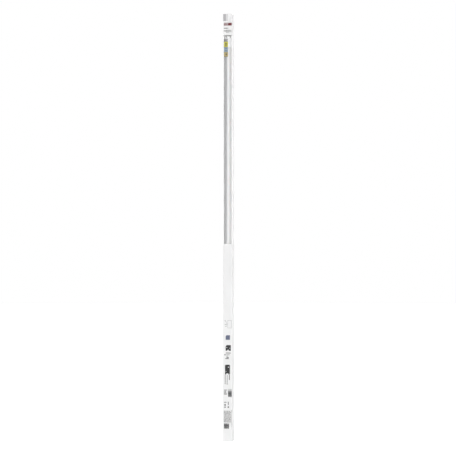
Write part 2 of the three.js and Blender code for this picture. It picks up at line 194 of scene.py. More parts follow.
def finished(material, tint, rough, height, relief, strength=1.0, **sockets):
    """The material with its colour, roughness, relief in metres and plain numbers set."""
    tree = material.node_tree
    inputs = {"Height": height, "Distance": relief, "Strength": strength}
    normal = node(tree, "ShaderNodeBump", inputs).outputs["Normal"]
    inputs = {"Base Color": tint, "Roughness": rough, "Normal": normal}
    for socket, value in sockets.items():
        inputs[socket.replace("_", " ")] = value
    feed(tree, tree.nodes["Principled BSDF"], inputs)
    return material


def mottled(name, color, roughness, variation=0.03, scale=400, stretch=(1, 1, 1),
            relief=0.00002, rough_spread=0.06, **sockets):
    """A finish whose colour, roughness and relief all vary a little over its surface."""
    material, tree = new_material(name)
    grain = noise(tree, scale, stretch)
    tint = ramp(tree, grain, shade(color, 1 - variation), shade(color, 1 + variation))
    rough = spread(tree, grain, roughness - rough_spread, roughness + rough_spread)
    return finished(material, tint, rough, grain, relief, **sockets)


# ---- materials


def paperboard(name, color, roughness, fibre, soak):
    """Board with a broad mottle, short fibres and a faint felt-like relief.

    Light soaks that many metres into it, so some of it gets through to the inside.
    """
    material, tree = new_material(name)
    cloud = ramp(tree, noise(tree, 28, detail=3), shade(color, 0.985), color)
    fibres = noise(tree, 900, (1, 1, 0.35), detail=6)
    specks = ramp(tree, fibres, (1 - fibre,) * 3, (1, 1, 1), 0.25, 0.6)
    tint = node(tree, "ShaderNodeMix", {0: 1.0, 6: cloud, 7: specks},
                data_type="RGBA", blend_type="MULTIPLY").outputs[2]
    rough = spread(tree, fibres, roughness - 0.08, roughness + 0.08)
    return finished(material, tint, rough, fibres, 0.00003, 0.6, Subsurface_Weight=1.0,
                    Subsurface_Radius=(1, 1, 1), Subsurface_Scale=soak)


def ink(name, color):
    """Printed ink, through which the board's fibres show as a faint unevenness."""
    return mottled(name, color, 0.42, 0.05, 1500, relief=0.00001, Specular_IOR_Level=0.2)


def extruded_metal(name, color, roughness):
    """Satin metal with fine die lines along the tube and faint handling patches."""
    material, tree = new_material(name)
    lines = noise(tree, 1400, (1, 1, 0.004), detail=6)
    patches = noise(tree, 30, detail=2)
    tint = ramp(tree, lines, shade(color, 0.95), shade(color, 1.04))
    fine = spread(tree, lines, -0.05, 0.05)
    broad = spread(tree, patches, roughness - 0.03, roughness + 0.03)
    rough = node(tree, "ShaderNodeMath", {0: fine, 1: broad}, operation="ADD").outputs["Value"]
    return finished(material, tint, rough, lines, 0.00001, 0.5, Metallic=1.0)


def clear_film(name):
    """Thin clear film with soft ripples in its gloss."""
    material, tree = new_material(name)
    ripple = noise(tree, 30, (1, 1, 0.25), detail=1)
    tint = ramp(tree, ripple, (0.93, 0.94, 0.95), (0.98, 0.98, 0.98))
    rough = spread(tree, ripple, 0.08, 0.14)
    return finished(material, tint, rough, ripple, 0.0004, 0.5, Alpha=0.06, IOR=1.45)


WHITE_BOARD = paperboard("white_board", (0.78, 0.78, 0.782), 0.5, 0.02, 0.002)
# the inside face is paler than the outside face of the same board: painted light that lifts the shade
# inside the carton, seen through the window
INNER_BOARD_PAINTED_LIGHT = paperboard("inner_board_painted_light", (0.95, 0.95, 0.945), 0.7, 0.02, 0.0015)
PLAIN_BOARD = paperboard("plain_board", (0.88, 0.875, 0.865), 0.75, 0.04, 0.003)
BOARD_EDGE = paperboard("board_edge", (0.70, 0.69, 0.665), 0.85, 0.10, 0.0005)
BOARD_FACES = (WHITE_BOARD, BOARD_EDGE, INNER_BOARD_PAINTED_LIGHT)
FILM_LOOK = clear_film("clear_film")
ALUMINIUM = extruded_metal("satin_aluminium", (0.56, 0.56, 0.57), 0.48)
OPAL = mottled("opal_diffuser", (0.52, 0.52, 0.52), 0.38, 0.01, 120, relief=0.000004,
               rough_spread=0.03, Subsurface_Weight=0.15, Subsurface_Scale=0.002)
CAP_PLASTIC = mottled("cap_plastic", (0.62, 0.62, 0.625), 0.42, 0.02, 2500)
PIN_METAL = mottled("pin_nickel", (0.34, 0.33, 0.31), 0.25, 0.05, 900, (1, 1, 0.1), Metallic=1.0)
PIN_SEAL = mottled("pin_seal", (0.10, 0.10, 0.105), 0.5, 0.08, 2500)
SCREW_METAL = mottled("screw_zinc", (0.55, 0.55, 0.56), 0.35, 0.06, 1500, Metallic=1.0)
STARTER_PLASTIC = mottled("starter_plastic", (0.80, 0.80, 0.79), 0.4, 0.02, 1800)
SOLDER_MASK = mottled("solder_mask", (0.86, 0.87, 0.85), 0.4, 0.02, 900)
COPPER = mottled("bare_copper", (0.72, 0.42, 0.26), 0.35, 0.06, 1200, Metallic=1.0)
TIN = mottled("tinned_wire", (0.70, 0.70, 0.69), 0.3, 0.05, 1500, Metallic=1.0)
LED_BODY = mottled("led_body", (0.84, 0.83, 0.80), 0.45, 0.02, 2500)
PHOSPHOR = mottled("phosphor", (0.86, 0.62, 0.06), 0.35, 0.05, 3000)
DRIVER_GREEN = mottled("driver_board", (0.045, 0.19, 0.08), 0.4, 0.10, 600)
CHIP_BLACK = mottled("chip_black", (0.018, 0.018, 0.02), 0.5, 0.10, 1800)
FERRITE = mottled("ferrite", (0.045, 0.045, 0.05), 0.6, 0.15, 1600)
WINDING_TAPE = mottled("winding_tape", (0.62, 0.44, 0.05), 0.5, 0.10, 900, (1, 1, 6))
CAN_SLEEVE = mottled("can_sleeve", (0.02, 0.025, 0.04), 0.35, 0.10, 500)
CAN_TOP = mottled("can_top", (0.60, 0.60, 0.61), 0.35, 0.04, 900, Metallic=1.0)
FILM_CAP_RED = mottled("film_capacitor", (0.36, 0.05, 0.03), 0.35, 0.08, 500)
VARISTOR_BLUE = mottled("varistor", (0.05, 0.16, 0.34), 0.4, 0.06, 900)
RESISTOR_BODY = mottled("resistor_body", (0.55, 0.42, 0.24), 0.5, 0.06, 900)
RESISTOR_BAND = mottled("resistor_band", (0.16, 0.05, 0.02), 0.5, 0.10, 900)

KEPT_NODES = {
    "starter_fuse": mottled("fuse_glass", (0.75, 0.80, 0.80), 0.12, 0.03, 500, Alpha=0.6),
    "thermal_tape": mottled("thermal_tape", (0.30, 0.32, 0.34), 0.8, 0.08, 1200),
    "driver_insulation_sleeve": mottled("sleeve", (0.75, 0.80, 0.82), 0.25, 0.02, 200, Alpha=0.4),
    "supply_lead_live": mottled("live_lead", (0.45, 0.04, 0.03), 0.45, 0.06, 1200),
    "supply_lead_neutral": mottled("neutral_lead", (0.02, 0.02, 0.022), 0.45, 0.10, 1200),
    "led_lead_plus": mottled("plus_lead", (0.45, 0.04, 0.03), 0.45, 0.06, 1200),
    "led_lead_minus": mottled("minus_lead", (0.02, 0.02, 0.022), 0.45, 0.10, 1200),
}


def finish_kept_nodes():
    for name, material in KEPT_NODES.items():
        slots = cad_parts[name].data.materials
        slots.clear()
        slots.append(material)


# ---- mesh helpers


def piece(name, mesh, body, slot, materials, nodes=(), smooth=35):
    """Adds a finished mesh as a piece that rides on a CAD body and stands for CAD nodes."""
    made = add_object(name, mesh)
    numbers = [face.material_index for face in mesh.polygons]
    mesh.materials.clear()
    for material in materials:
        mesh.materials.append(material)
    mesh.polygons.foreach_set("material_index", numbers)
    mesh.polygons.foreach_set("use_smooth", [True] * len(mesh.polygons))
    mesh.set_sharp_from_angle(angle=math.radians(smooth))
    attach(made, body)
    if nodes:
        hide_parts(*nodes)


def saved(build):
    mesh = bpy.data.meshes.new("mesh")
    build.to_mesh(mesh)
    build.free()
    return mesh


def mesh_of(build, outward=True):
    """A metre mesh from a bmesh made in millimetres."""
    bmesh.ops.transform(build, matrix=Matrix.Scale(MM, 4), verts=build.verts)
    if outward:
        bmesh.ops.recalc_face_normals(build, faces=build.faces)
    return saved(build)


def result_of(data, kind=None, **settings):
    """The mesh that an object with this data and one kind of modifier shows."""
    carrier = add_object("carrier", data)
    modifier = carrier.modifiers.new(kind, kind) if kind else None
    for key, value in settings.items():
        setattr(modifier, key, value)
    graph = bpy.context.evaluated_depsgraph_get()
    mesh = bpy.data.meshes.new_from_object(carrier.evaluated_get(graph))
    bpy.data.objects.remove(carrier)
    return mesh


def thickened(mesh, thickness, rim=0, back=0):
    """A sheet given thickness away from its normals, with material numbers for edge and back."""
    for _ in range(3):
        mesh.materials.append(None)
    return result_of(mesh, "SOLIDIFY", thickness=thickness * MM, offset=-1, use_even_offset=True,
                     material_offset_rim=rim, material_offset=back)


def without(mesh, *cutters):
    """The mesh with other meshes cut out of it."""
    for cutter in cutters:
        tool = add_object("cutter", cutter)
        mesh = result_of(mesh, "BOOLEAN", operation="DIFFERENCE", object=tool, solver="EXACT")
        bpy.data.objects.remove(tool)
    return mesh


def joined(*parts):
    """One mesh from (mesh, material number) pairs, where None keeps the mesh's own numbers."""
    build = bmesh.new()
    for mesh, number in parts:
        first = len(build.faces)
        build.from_mesh(mesh)
        build.faces.ensure_lookup_table()
        for face in build.faces[first:] if number is not None else ():
            face.material_index = number
    return saved(build)


def moved(mesh, matrix):
    mesh.transform(matrix)
    if matrix.determinant() < 0:
        mesh.flip_normals()
    return mesh


def at(x, y, z):
    """A move given in millimetres."""
    return Matrix.Translation(Vector((x, y, z)) * MM)


def groove(radius, low, high, depth=0.18, slope=0.15):
    """Profile points of a shallow groove round a turned part."""
    return [(radius, low), (radius - depth, low + slope), (radius - depth, high - slope), (radius, high)]


def mirrored(profile, length):
    """Half of a turned part's profile, and its mirror image up to the part's length."""
    return profile + [(radius, length - height) for radius, height in reversed(profile)]


def arc(radius, start, end, steps, centre=(0, 0)):
    """Points on an arc, angles in radians, both ends included."""
    angles = [start + (end - start) * i / steps for i in range(steps + 1)]
    return [(centre[0] + radius * math.cos(a), centre[1] + radius * math.sin(a)) for a in angles]


def rounded_corner(before, here, after, radius, steps):
    """Points that round off one corner of an outline."""
    before, here, after = Vector(before), Vector(here), Vector(after)
    back, on = (before - here).normalized(), (after - here).normalized()
    turn = math.pi - back.angle(on)
    length = radius * math.tan(turn / 2)
    centre = here + (back + on).normalized() * radius / math.cos(turn / 2)
    first, last = here + back * length - centre, here + on * length - centre
    return [centre + first.slerp(last, i / steps).normalized() * radius for i in range(steps + 1)]


def rounded_outline(points, radius, steps=5):
    outline = []
    for i, here in enumerate(points):
        after = points[(i + 1) % len(points)]
        outline += rounded_corner(points[i - 1], here, after, radius, steps)
    return [tuple(point) for point in outline]


def rectangle(x, y, width, height):
    """A rectangle about a centre."""
    w, h = width / 2, height / 2
    return [(x - w, y - h), (x + w, y - h), (x + w, y + h), (x - w, y + h)]


def circle(x, y, radius, sides=32):
    return arc(radius, 0, 2 * math.pi, sides, (x, y))[:-1]


WELD = 1e-7
TINY_EDGE = 1e-8


def welded(mesh):
    """The mesh with the seams that a curve leaves closed, and its faces turned outward."""
    build = bmesh.new()
    build.from_mesh(mesh)
    bmesh.ops.remove_doubles(build, verts=build.verts, dist=WELD)
    bmesh.ops.dissolve_degenerate(build, dist=TINY_EDGE, edges=build.edges)
    bmesh.ops.recalc_face_normals(build, faces=build.faces)
    return saved(build)


def prism(outlines, low, high, bevel=0):
    """A straight extrusion along Z of some outlines, where an outline inside another is a hole."""
    curve = bpy.data.curves.new("outline", "CURVE")
    curve.dimensions, curve.fill_mode = "2D", "BOTH"
    curve.extrude = ((high - low) / 2 - bevel) * MM
    if bevel:
        curve.bevel_depth = bevel * MM
        curve.bevel_resolution = 2
        curve.offset = -bevel * MM
    for points in outlines:
        spline = curve.splines.new("POLY")
        spline.points.add(len(points) - 1)
        for target, (x, y) in zip(spline.points, points):
            target.co = (x * MM, y * MM, 0, 1)
        spline.use_cyclic_u = True
    return moved(welded(result_of(curve)), at(0, 0, (low + high) / 2))


def lathe(profile, sides=72, ripple=None, z0=0, direction=1):
    """A profile of (radius, height) turned about Z. It ends on the axis or closes on itself.

    The heights are measured from z0 in the direction +1 or -1. ripple(angle, radius, height)
    adds to the radius.
    """
    build = bmesh.new()
    closed = profile[0] == profile[-1]
    rings = []
    for radius, height in profile[:-1] if closed else profile:
        z = z0 + direction * height
        if radius == 0:
            rings.append([build.verts.new((0, 0, z))])
            continue
        ring = []
        for i in range(sides):
            angle = 2 * math.pi * i / sides
            r = radius + (ripple(angle, radius, height) if ripple else 0)
            ring.append(build.verts.new((r * math.cos(angle), r * math.sin(angle), z)))
        rings.append(ring)
    pairs = list(zip(rings, rings[1:])) + ([(rings[-1], rings[0])] if closed else [])
    for low, high in pairs:
        for i in range(sides):
            k = (i + 1) % sides
            face = [low[i % len(low)], low[k % len(low)], high[k % len(high)], high[i % len(high)]]
            build.faces.new(list(dict.fromkeys(face)))
    return mesh_of(build)


def wire(points, radius):
    """A round wire through points, with closed ends."""
    curve = bpy.data.curves.new("wire", "CURVE")
    curve.dimensions = "3D"
    curve.bevel_depth = radius * MM
    curve.bevel_resolution = 3
    curve.use_fill_caps = True
    spline = curve.splines.new("POLY")
    spline.points.add(len(points) - 1)
    for target, point in zip(spline.points, points):
        target.co = (*(Vector(point) * MM), 1)
    return welded(result_of(curve))


def join_rows(build, rows, around=True):
    """Faces between rows of points, which are rings capped at both ends if they go around."""
    made = [[build.verts.new(point) for point in row] for row in rows]
    for low, high in zip(made, made[1:]):
        for i in range(0 if around else 1, len(low)):
            build.faces.new((low[i - 1], low[i], high[i], high[i - 1]))
    if around:
        build.faces.new(made[0][::-1])
        build.faces.new(made[-1])


def loft(rings):
    """A closed shell through rings with as many points each."""
    build = bmesh.new()
    join_rows(build, rings)
    return mesh_of(build)


def block(low, high, bevel=0.15):
    """A box between two corners with softened edges."""
    build = bmesh.new()
    bmesh.ops.create_cube(build, size=1)
    size, centre = Vector(high) - Vector(low), (Vector(high) + Vector(low)) / 2
    bmesh.ops.scale(build, vec=size, verts=build.verts)
    bmesh.ops.translate(build, vec=centre, verts=build.verts)
    bmesh.ops.bevel(build, geom=build.edges[:], offset=bevel, segments=2, affect="EDGES", profile=0.5)
    return mesh_of(build)


# ---- folded board

BOARD = 0.5
INSET = 0.05  # how far the carton's board stays inside its box, to leave room for the ink
CREASE_RADIUS = 0.8
CREASE_STEPS = 5


def stations_along(track):
    """A polyline with rounded corners as (distance, point) stations, and each corner's reach."""
    points = [Vector(track[0])]
    for before, here, after in zip(track, track[1:], track[2:]):
        points += rounded_corner(before, here, after, CREASE_RADIUS, CREASE_STEPS)
    points.append(Vector(track[-1]))
    stations, run = [], 0.0
    for i, point in enumerate(points):
        run += (point - points[i - 1]).length if i else 0.0
        stations.append((run, point))
    folds = []
    for k in range(len(track) - 2):
        first = 1 + k * (CREASE_STEPS + 1)
        folds.append([distance for distance, _ in stations[first:first + CREASE_STEPS + 1]])
    return stations, folds


def along(stations, distance):
    """The point at a distance along a folded path."""
    for (d0, first), (d1, second) in zip(stations, stations[1:]):
        if distance <= d1 + 1e-6:
            return first.lerp(second, (distance - d0) / (d1 - d0))
    return stations[-1][1]


def flat_sheet(outline, cuts_u, cuts_v):
    """A flat sheet in (u, v), cut along lines of constant u and of constant v."""
    build = bmesh.new()
    build.faces.new([build.verts.new((u, v, 0)) for u, v in outline])
    for axis, cuts in ((Vector((1, 0, 0)), cuts_u), (Vector((0, 1, 0)), cuts_v)):
        for value in cuts:
            everything = build.verts[:] + build.edges[:] + build.faces[:]
            bmesh.ops.bisect_plane(build, geom=everything, plane_co=axis * value, plane_no=axis)
    return build


def folded(build, stations, place_point, inside):
    """Folds a flat sheet along its stations and gives it thickness towards the inside point."""
    for vert in build.verts:
        across, distance = vert.co.y, vert.co.x
        vert.co = place_point(along(stations, distance), across, distance)
    bmesh.ops.recalc_face_normals(build, faces=build.faces)
    centre = Vector(inside)
    facing = sum(f.normal.dot(f.calc_center_median() - centre) * f.calc_area() for f in build.faces)
    if facing < 0:
        bmesh.ops.reverse_faces(build, faces=build.faces)
    return thickened(mesh_of(build, outward=False), BOARD, rim=1, back=2)


def steps_between(low, high, step):
    count = max(1, round((high - low) / step))
    return [low + (high - low) * i / count for i in range(1, count)]


# ---- carton

HEIGHT = cad_high.z / MM
FACE = cad_high.x / MM - INSET
GLUE_FLAP_LOW, GLUE_FLAP_HIGH = corners("carton_glue_flap")
BACK_FOOT = corners("carton_back_panel")[0].z
GLUE_FLAP_GAP = 0.03
OFF_CUT = 0.05
PANEL_BOW = 0.12
BOW_FADE, BOW_WAVE = 60, 90
PANEL_STEP = 5
SHEET_STEP = 40

FILM_LOW, FILM_HIGH = corners("window_film")
# the film reaches past the window by a glued margin
MARGIN_LEFT, MARGIN_RIGHT, MARGIN_ENDS = 1.5, 0.9, 8
WINDOW_LEFT = FILM_LOW.x + MARGIN_LEFT
WINDOW_RIGHT = FILM_HIGH.x - MARGIN_RIGHT
WINDOW_BOTTOM = FILM_LOW.z + MARGIN_ENDS
WINDOW_TOP = FILM_HIGH.z - MARGIN_ENDS
WINDOW_CORNER = 1.2


def vertex_at(build, u, v):
    return min(build.verts, key=lambda vert: (vert.co.x - u) ** 2 + (vert.co.y - v) ** 2)


def cut_window(build, left, right, low, high, corner):
    """Takes the window out of a flat sheet and rounds its corners."""
    def in_window(point):
        return left < point.x < right and low < point.y < high
    inside = [face for face in build.faces if in_window(face.calc_center_median())]
    bmesh.ops.delete(build, geom=inside, context="FACES")
    for u, v, du, dv in ((left, low, 1, 1), (right, low, -1, 1),
                         (right, high, -1, -1), (left, high, 1, -1)):
        centre = Vector((u + du * corner, v + dv * corner, 0))
        ring = [vertex_at(build, u, v + dv * corner)]
        for i in range(1, CREASE_STEPS):
            angle = math.pi / 2 * i / CREASE_STEPS
            offset = Vector((-du * math.cos(angle), -dv * math.sin(angle), 0)) * corner
            ring.append(build.verts.new(centre + offset))
        ring.append(vertex_at(build, u + du * corner, v))
        tip = vertex_at(build, u, v)
        for first, second in zip(ring, ring[1:]):
            build.faces.new((tip, first, second))


def add_sleeve():
    """One sheet folded round: glue flap, back, right side, front with the window, left side."""
    stations, folds = stations_along([
        (-FACE + BOARD + GLUE_FLAP_GAP, GLUE_FLAP_LOW.y),
        (-FACE + BOARD + GLUE_FLAP_GAP, FACE),
        (FACE, FACE), (FACE, -FACE), (-FACE, -FACE),
        (-FACE, FACE - CREASE_RADIUS),
    ])
    end = stations[-1][0]
    panels = [(folds[0][-1], folds[1][0], Vector((0, -1, 0))),
              (folds[1][-1], folds[2][0], Vector((-1, 0, 0))),
              (folds[3][-1], end, Vector((1, 0, 0)))]
    front_start = folds[2][-1]
    front_middle = front_start + FACE - CREASE_RADIUS
    left, right = front_middle - WINDOW_RIGHT, front_middle - WINDOW_LEFT

    # the steps in the outline stay just off the cuts, which must not run along its edges
    flap_end, back_end = folds[0][0] - OFF_CUT, folds[1][0] - OFF_CUT
    outline = [
        (0, GLUE_FLAP_LOW.z), (flap_end, GLUE_FLAP_LOW.z), (flap_end, BACK_FOOT),
        (back_end, BACK_FOOT), (back_end, 0), (end, 0), (end, HEIGHT),
        (flap_end, HEIGHT), (flap_end, GLUE_FLAP_HIGH.z), (0, GLUE_FLAP_HIGH.z),
    ]
    cuts_u = [u for fold in folds for u in fold]
    for low, high, _ in panels + [(front_start, folds[3][0], None)]:
        cuts_u += steps_between(low, high, PANEL_STEP)
    cuts_u += [left, left + WINDOW_CORNER, right - WINDOW_CORNER, right]
    cuts_v = steps_between(0, HEIGHT, SHEET_STEP)
    cuts_v += [WINDOW_BOTTOM, WINDOW_BOTTOM + WINDOW_CORNER, WINDOW_TOP - WINDOW_CORNER, WINDOW_TOP]
    build = flat_sheet(outline, cuts_u, cuts_v)
    cut_window(build, left, right, WINDOW_BOTTOM, WINDOW_TOP, WINDOW_CORNER)

    def place_point(point, z, distance):
        """Its place on the carton: the plain panels bow inwards a little between their folds."""
        spot = Vector((point.x, point.y, z))
        for k, (low, high, inward) in enumerate(panels):
            if low < distance < high:
                t = 2 * (distance - low) / (high - low) - 1
                ends = min(1, z / BOW_FADE, (HEIGHT - z) / BOW_FADE)
                uneven = 0.7 + 0.3 * math.sin(z / BOW_WAVE + k)
                spot += inward * PANEL_BOW * (1 - t * t) * ends * uneven
        return spot

    mesh = folded(build, stations, place_point, (0, 0, HEIGHT / 2))
    nodes = [f"carton_{panel}" for panel in
             ("front_panel", "right_panel", "back_panel", "left_panel", "glue_flap")]
    piece("carton_sleeve", mesh, "carton", "white_paperboard", BOARD_FACES, nodes, 50)


FILM_FACE = -FACE + BOARD + 0.03
FILM_THICKNESS = 0.08
FILM_RIPPLE = 0.14
FILM_COLUMNS, FILM_ROWS = 16, 160
FILM_FADE = 25


def film_depth(x, z):
    """The film's front at a point: flat where it is glued, slack between."""
    across = (x - WINDOW_LEFT) * (WINDOW_RIGHT - x) / ((WINDOW_RIGHT - WINDOW_LEFT) / 2) ** 2
    along_film = min(1, (z - WINDOW_BOTTOM) / FILM_FADE, (WINDOW_TOP - z) / FILM_FADE)
    slack = 0.5 + 0.3 * math.sin(z / 37 + x / 9) + 0.2 * math.sin(z / 13.7 - x / 6)
    return FILM_FACE + FILM_RIPPLE * max(0, across) * max(0, along_film) * slack


def add_film():
    build = bmesh.new()
    xs = [FILM_LOW.x + (FILM_HIGH.x - FILM_LOW.x) * i / FILM_COLUMNS for i in range(FILM_COLUMNS + 1)]
    zs = [FILM_LOW.z + (FILM_HIGH.z - FILM_LOW.z) * k / FILM_ROWS for k in range(FILM_ROWS + 1)]
    join_rows(build, [[(x, film_depth(x, z), z) for x in xs] for z in zs], around=False)
    mesh = thickened(mesh_of(build, outward=False), FILM_THICKNESS)
    piece("window_film_sheet", mesh, "carton", "clear_film", (FILM_LOOK,), ["window_film"], 60)


# ---- printing

INK_LIFT = 0.03
GREY_INK = ink("ink_grey", (0.34, 0.335, 0.345))
PALE_INK = ink("ink_pale_grey", (0.54, 0.54, 0.545))
FAINT_INK = ink("ink_faint_grey", (0.27, 0.27, 0.275))
RED_INK = ink("ink_red", (0.135, 0.028, 0.034))
TEXT_INK = ink("ink_text_grey", (0.085, 0.083, 0.083))
BLACK_INK = ink("ink_black", (0.030, 0.030, 0.031))
SLATE_INK = ink("ink_slate_blue", (0.105, 0.118, 0.175))
YELLOW_INK = ink("ink_yellow", (0.40, 0.38, 0.045))
BLUE_INK = ink("ink_blue_grey", (0.22, 0.29, 0.36))
TAN_INK = ink("ink_tan", (0.33, 0.27, 0.12))
# a dark see-through ink printed on the film: painted shade that darkens the left half of the end cap and
# collar seen through it
SHADE_VEIL_INK = mottled("painted_shade_veil_ink", (0.10, 0.10, 0.095), 0.3, 0.05, 1500, Alpha=0.2)
WORD_LENGTHS = (5, 3, 6, 2, 4, 7, 3)


def plates(outlines, low, high):
    """Thin plates with convex outlines, one beside the other."""
    build = bmesh.new()
    for points in outlines:
        join_rows(build, [[(x, y, z) for x, y in points] for z in (low, high)])
    return mesh_of(build)


def front_print(name, look, mesh_maker, outlines, face=FACE, slot="white_paperboard"):
    """A thin layer of ink on the side that faces -Y. The outlines are in x and z."""
    mesh = mesh_maker(outlines, face - 0.01, face + INK_LIFT)
    piece(name, moved(mesh, Matrix.Rotation(math.pi / 2, 4, "X")), "carton", slot, (look,))


def span(left, right, low, high):
    return [(left, low), (right, low), (right, high), (left, high)]


def text_rows(left, right, top, rows, pitch, height, first=0):
    """Plain bars that stand for lines of small print, in words of uneven length."""
    outlines, count = [], first
    for row in range(rows):
        x, z = left, top - row * pitch
        while x < right - height:
            word = min(WORD_LENGTHS[count % len(WORD_LENGTHS)] * height * 0.45, right - x)
            outlines.append(span(x, x + word, z - height, z))
            x += word + height * 0.5
            count += 1
    return outlines


def cells(left, low, size, count, margin=0.03):
    """A square field of small cells, most of them inked, in a plain repeating order."""
    outlines, step = [], size / count
    for i in range(count):
        for k in range(count):
            if (i * i + 3 * k + i * k) % 5 != 1:
                x, z = left + i * step, low + k * step
                outlines.append(span(x + margin, x + step - margin, z + margin, z + step - margin))
    return outlines


def add_header_print():
    """The grey corner, the red band and the lines of print above the window."""
    edge = FACE - CREASE_RADIUS
    top = HEIGHT - 0.4
    front_print("print_corner", GREY_INK, plates, [span(-edge, -4.7, 1258.9, top)])
    front_print("print_corner_pale", PALE_INK, plates, [span(-4.6, 1.4, 1258.9, top)])
    band = span(-10.9, 13.1, 1244.9, 1253.0)
    knocked_out = text_rows(-9.8, 4.2, 1251.6, 2, 3.6, 1.7)
    front_print("print_band", RED_INK, prism, [band, *knocked_out])
    lines = text_rows(-10.9, 3.6, 1238.0, 1, 4, 2.2, 1)
    lines += text_rows(-10.9, 12.2, 1231.4, 2, 2.9, 1.5, 3)
    lines += text_rows(-4.8, 3.6, 1225.2, 1, 4, 1.3, 2)
    front_print("print_header_lines", TEXT_INK, plates, lines)


TILE_LEFT, TILE_RIGHT = -10.9, 1.2


def add_film_print():
    """A grey veil down the left half of the film, painted shade on the left half of the end cap and collar
    behind it, and three picture tiles on it.
    """
    face, x = -FILM_FACE, (TILE_LEFT + TILE_RIGHT) / 2
    veil = span(TILE_LEFT, TILE_RIGHT, 1150.6, 1205.6)
    front_print("film_print_painted_shade_veil", SHADE_VEIL_INK, plates, [veil], face, "clear_film")
    tiles = (
        ("yellow", YELLOW_INK, 1181.2, 1196.4,
         [circle(x, 1.4, 2.6, 24), span(x - 2.2, x + 2.2, -4.6, -2.2)]),
        ("blue", BLUE_INK, 1166.6, 1179.6,
         [span(x - 4, x + 4, 2.2, 3.6), span(x - 4, x + 4, -3.6, -2.2)]),
        ("tan", TAN_INK, 1152.4, 1165.0, [circle(x + 1.2, 0, 2.4, 24)]),
    )
    for name, look, low, high, shapes in tiles:
        tile = rounded_outline(span(TILE_LEFT, TILE_RIGHT, low, high), 1.2)
        drawing = [[(u, v + (low + high) / 2) for u, v in shape] for shape in shapes]
        front_print(f"film_print_{name}", look, prism, [tile, *drawing], face + 0.04, "clear_film")
        front_print(f"film_print_{name}_drawing", TEXT_INK, plates, drawing, face + 0.03, "clear_film")


def add_lower_print():
    """The plain marks and blocks below the window."""
    outline = [span(0.4, 12.4, 338.5, 361.5), span(1.0, 11.8, 339.1, 360.9)]
    front_print("print_outline", FAINT_INK, prism, outline)
    chevrons = [[(-8.4, 362.4), (-4.8, 358.8), (-4.8, 357.2), (-8.4, 360.8)],
                [(-4.8, 358.8), (-1.0, 350.4), (-1.0, 348.6), (-4.8, 357.0)],
                [(-8.4, 350.6), (-1.2, 348.2), (-1.2, 346.9), (-8.4, 349.2)],
                span(-7.6, -2.2, 343.0, 344.2)]
    front_print("print_chevrons", FAINT_INK, plates, chevrons)

    patch = [(-5.6, 303.2), (7.5, 303.2), (7.5, 316.9), (-3.4, 316.9), (-5.6, 313.4)]
    front_print("print_slate_patch", SLATE_INK, plates, [patch])

    device = [(-5.7, 270.2), (-1.8, 270.2), (0.6, 273.4), (3.0, 273.4), (4.6, 270.2),
              (10.2, 270.2), (10.2, 287.4), (-2.4, 287.4), (-5.7, 283.0)]
    openings = [span(-3.4, -1.2, 279.0, 281.0), span(6.6, 8.2, 276.6, 279.0)]
    front_print("print_dark_device", BLACK_INK, prism, [device, *openings])

    figure = [span(-4.9, 9.8, 262.4, 264.6), span(-9.4, -5.9, 256.4, 259.9), span(-4.2, 6.8, 257.6, 258.9),
              span(-3.6, 2.0, 253.4, 255.2), span(-6.8, 3.9, 245.6, 247.6), span(-3.4, 3.9, 248.6, 251.2)]
    front_print("print_grey_figure", TEXT_INK, plates, figure)

    case = rounded_outline([(-7.6, 199.0), (-4.4, 199.0), (-3.2, 202.4), (2.2, 202.4), (3.4, 199.0),
                            (6.8, 199.0), (6.8, 228.6), (-5.8, 228.6), (-7.6, 225.6)], 0.7)
    openings = [span(1.4, 4.4, 220.0, 222.2), span(-5.4, -3.8, 207.2, 209.0)]
    front_print("print_dark_case", BLACK_INK, prism, [case, *openings])
    front_print("print_case_edge", FAINT_INK, plates, [span(7.1, 8.1, 201.5, 227.0)])

    strokes = [span(-7.8, -6.2, 173.6, 198.4), span(-1.8, -0.3, 173.6, 198.4), span(4.6, 6.8, 182.6, 197.8)]
    feet = [span(-9.0, -5.0, 170.6, 172.0), span(-3.0, 1.4, 170.0, 171.6)]
    front_print("print_strokes", TEXT_INK, plates, strokes)
    front_print("print_stroke_feet", TEXT_INK, plates, feet)

    mark = text_rows(-10.6, -2.6, 153.6, 5, 3.2, 2.0, 1)
    front_print("print_small_mark", TEXT_INK, plates, mark)
    bars, z = [], 155.6
    for number, thickness in enumerate((0.7, 0.5, 0.9, 1.8, 2.1, 2.6, 2.2, 1.9, 1.6, 0.8, 0.5)):
        bars.append(span(1.5, 13.1, z - thickness, z))
        z -= thickness + (1.5 if number < 3 else 0.55)
    front_print("print_bar_stack", BLACK_INK, plates, bars)

    icons = [span(-10.6, -3.2, 114.8, 116.8), span(-9.4, -5.4, 105.2, 110.6), span(-9.8, -5.0, 99.6, 102.8),
             span(1.4, 3.4, 107.6, 117.6), span(0.4, 4.4, 99.4, 103.6)]
    front_print("print_small_icons", TEXT_INK, plates, icons)

    front_print("print_text_block", TEXT_INK, plates, text_rows(-10.9, 10.2, 90.0, 10, 3.55, 1.75))
    front_print("print_cell_square", BLACK_INK, plates, cells(-10.9, 36.6, 15.4, 14))
    front_print("print_side_column", FAINT_INK, plates, text_rows(11.0, 13.1, 93.0, 19, 3.1, 1.6))


# ---- lid and dust flaps

LID_LOW, LID_HIGH = corners("bottom_lid_panel")
TONGUE_HIGH = heights("bottom_lid_tongue")[1]
TONGUE_LEAN = math.radians(10)
TONGUE_CORNER = 3
FLAP_TAPER = 2.9


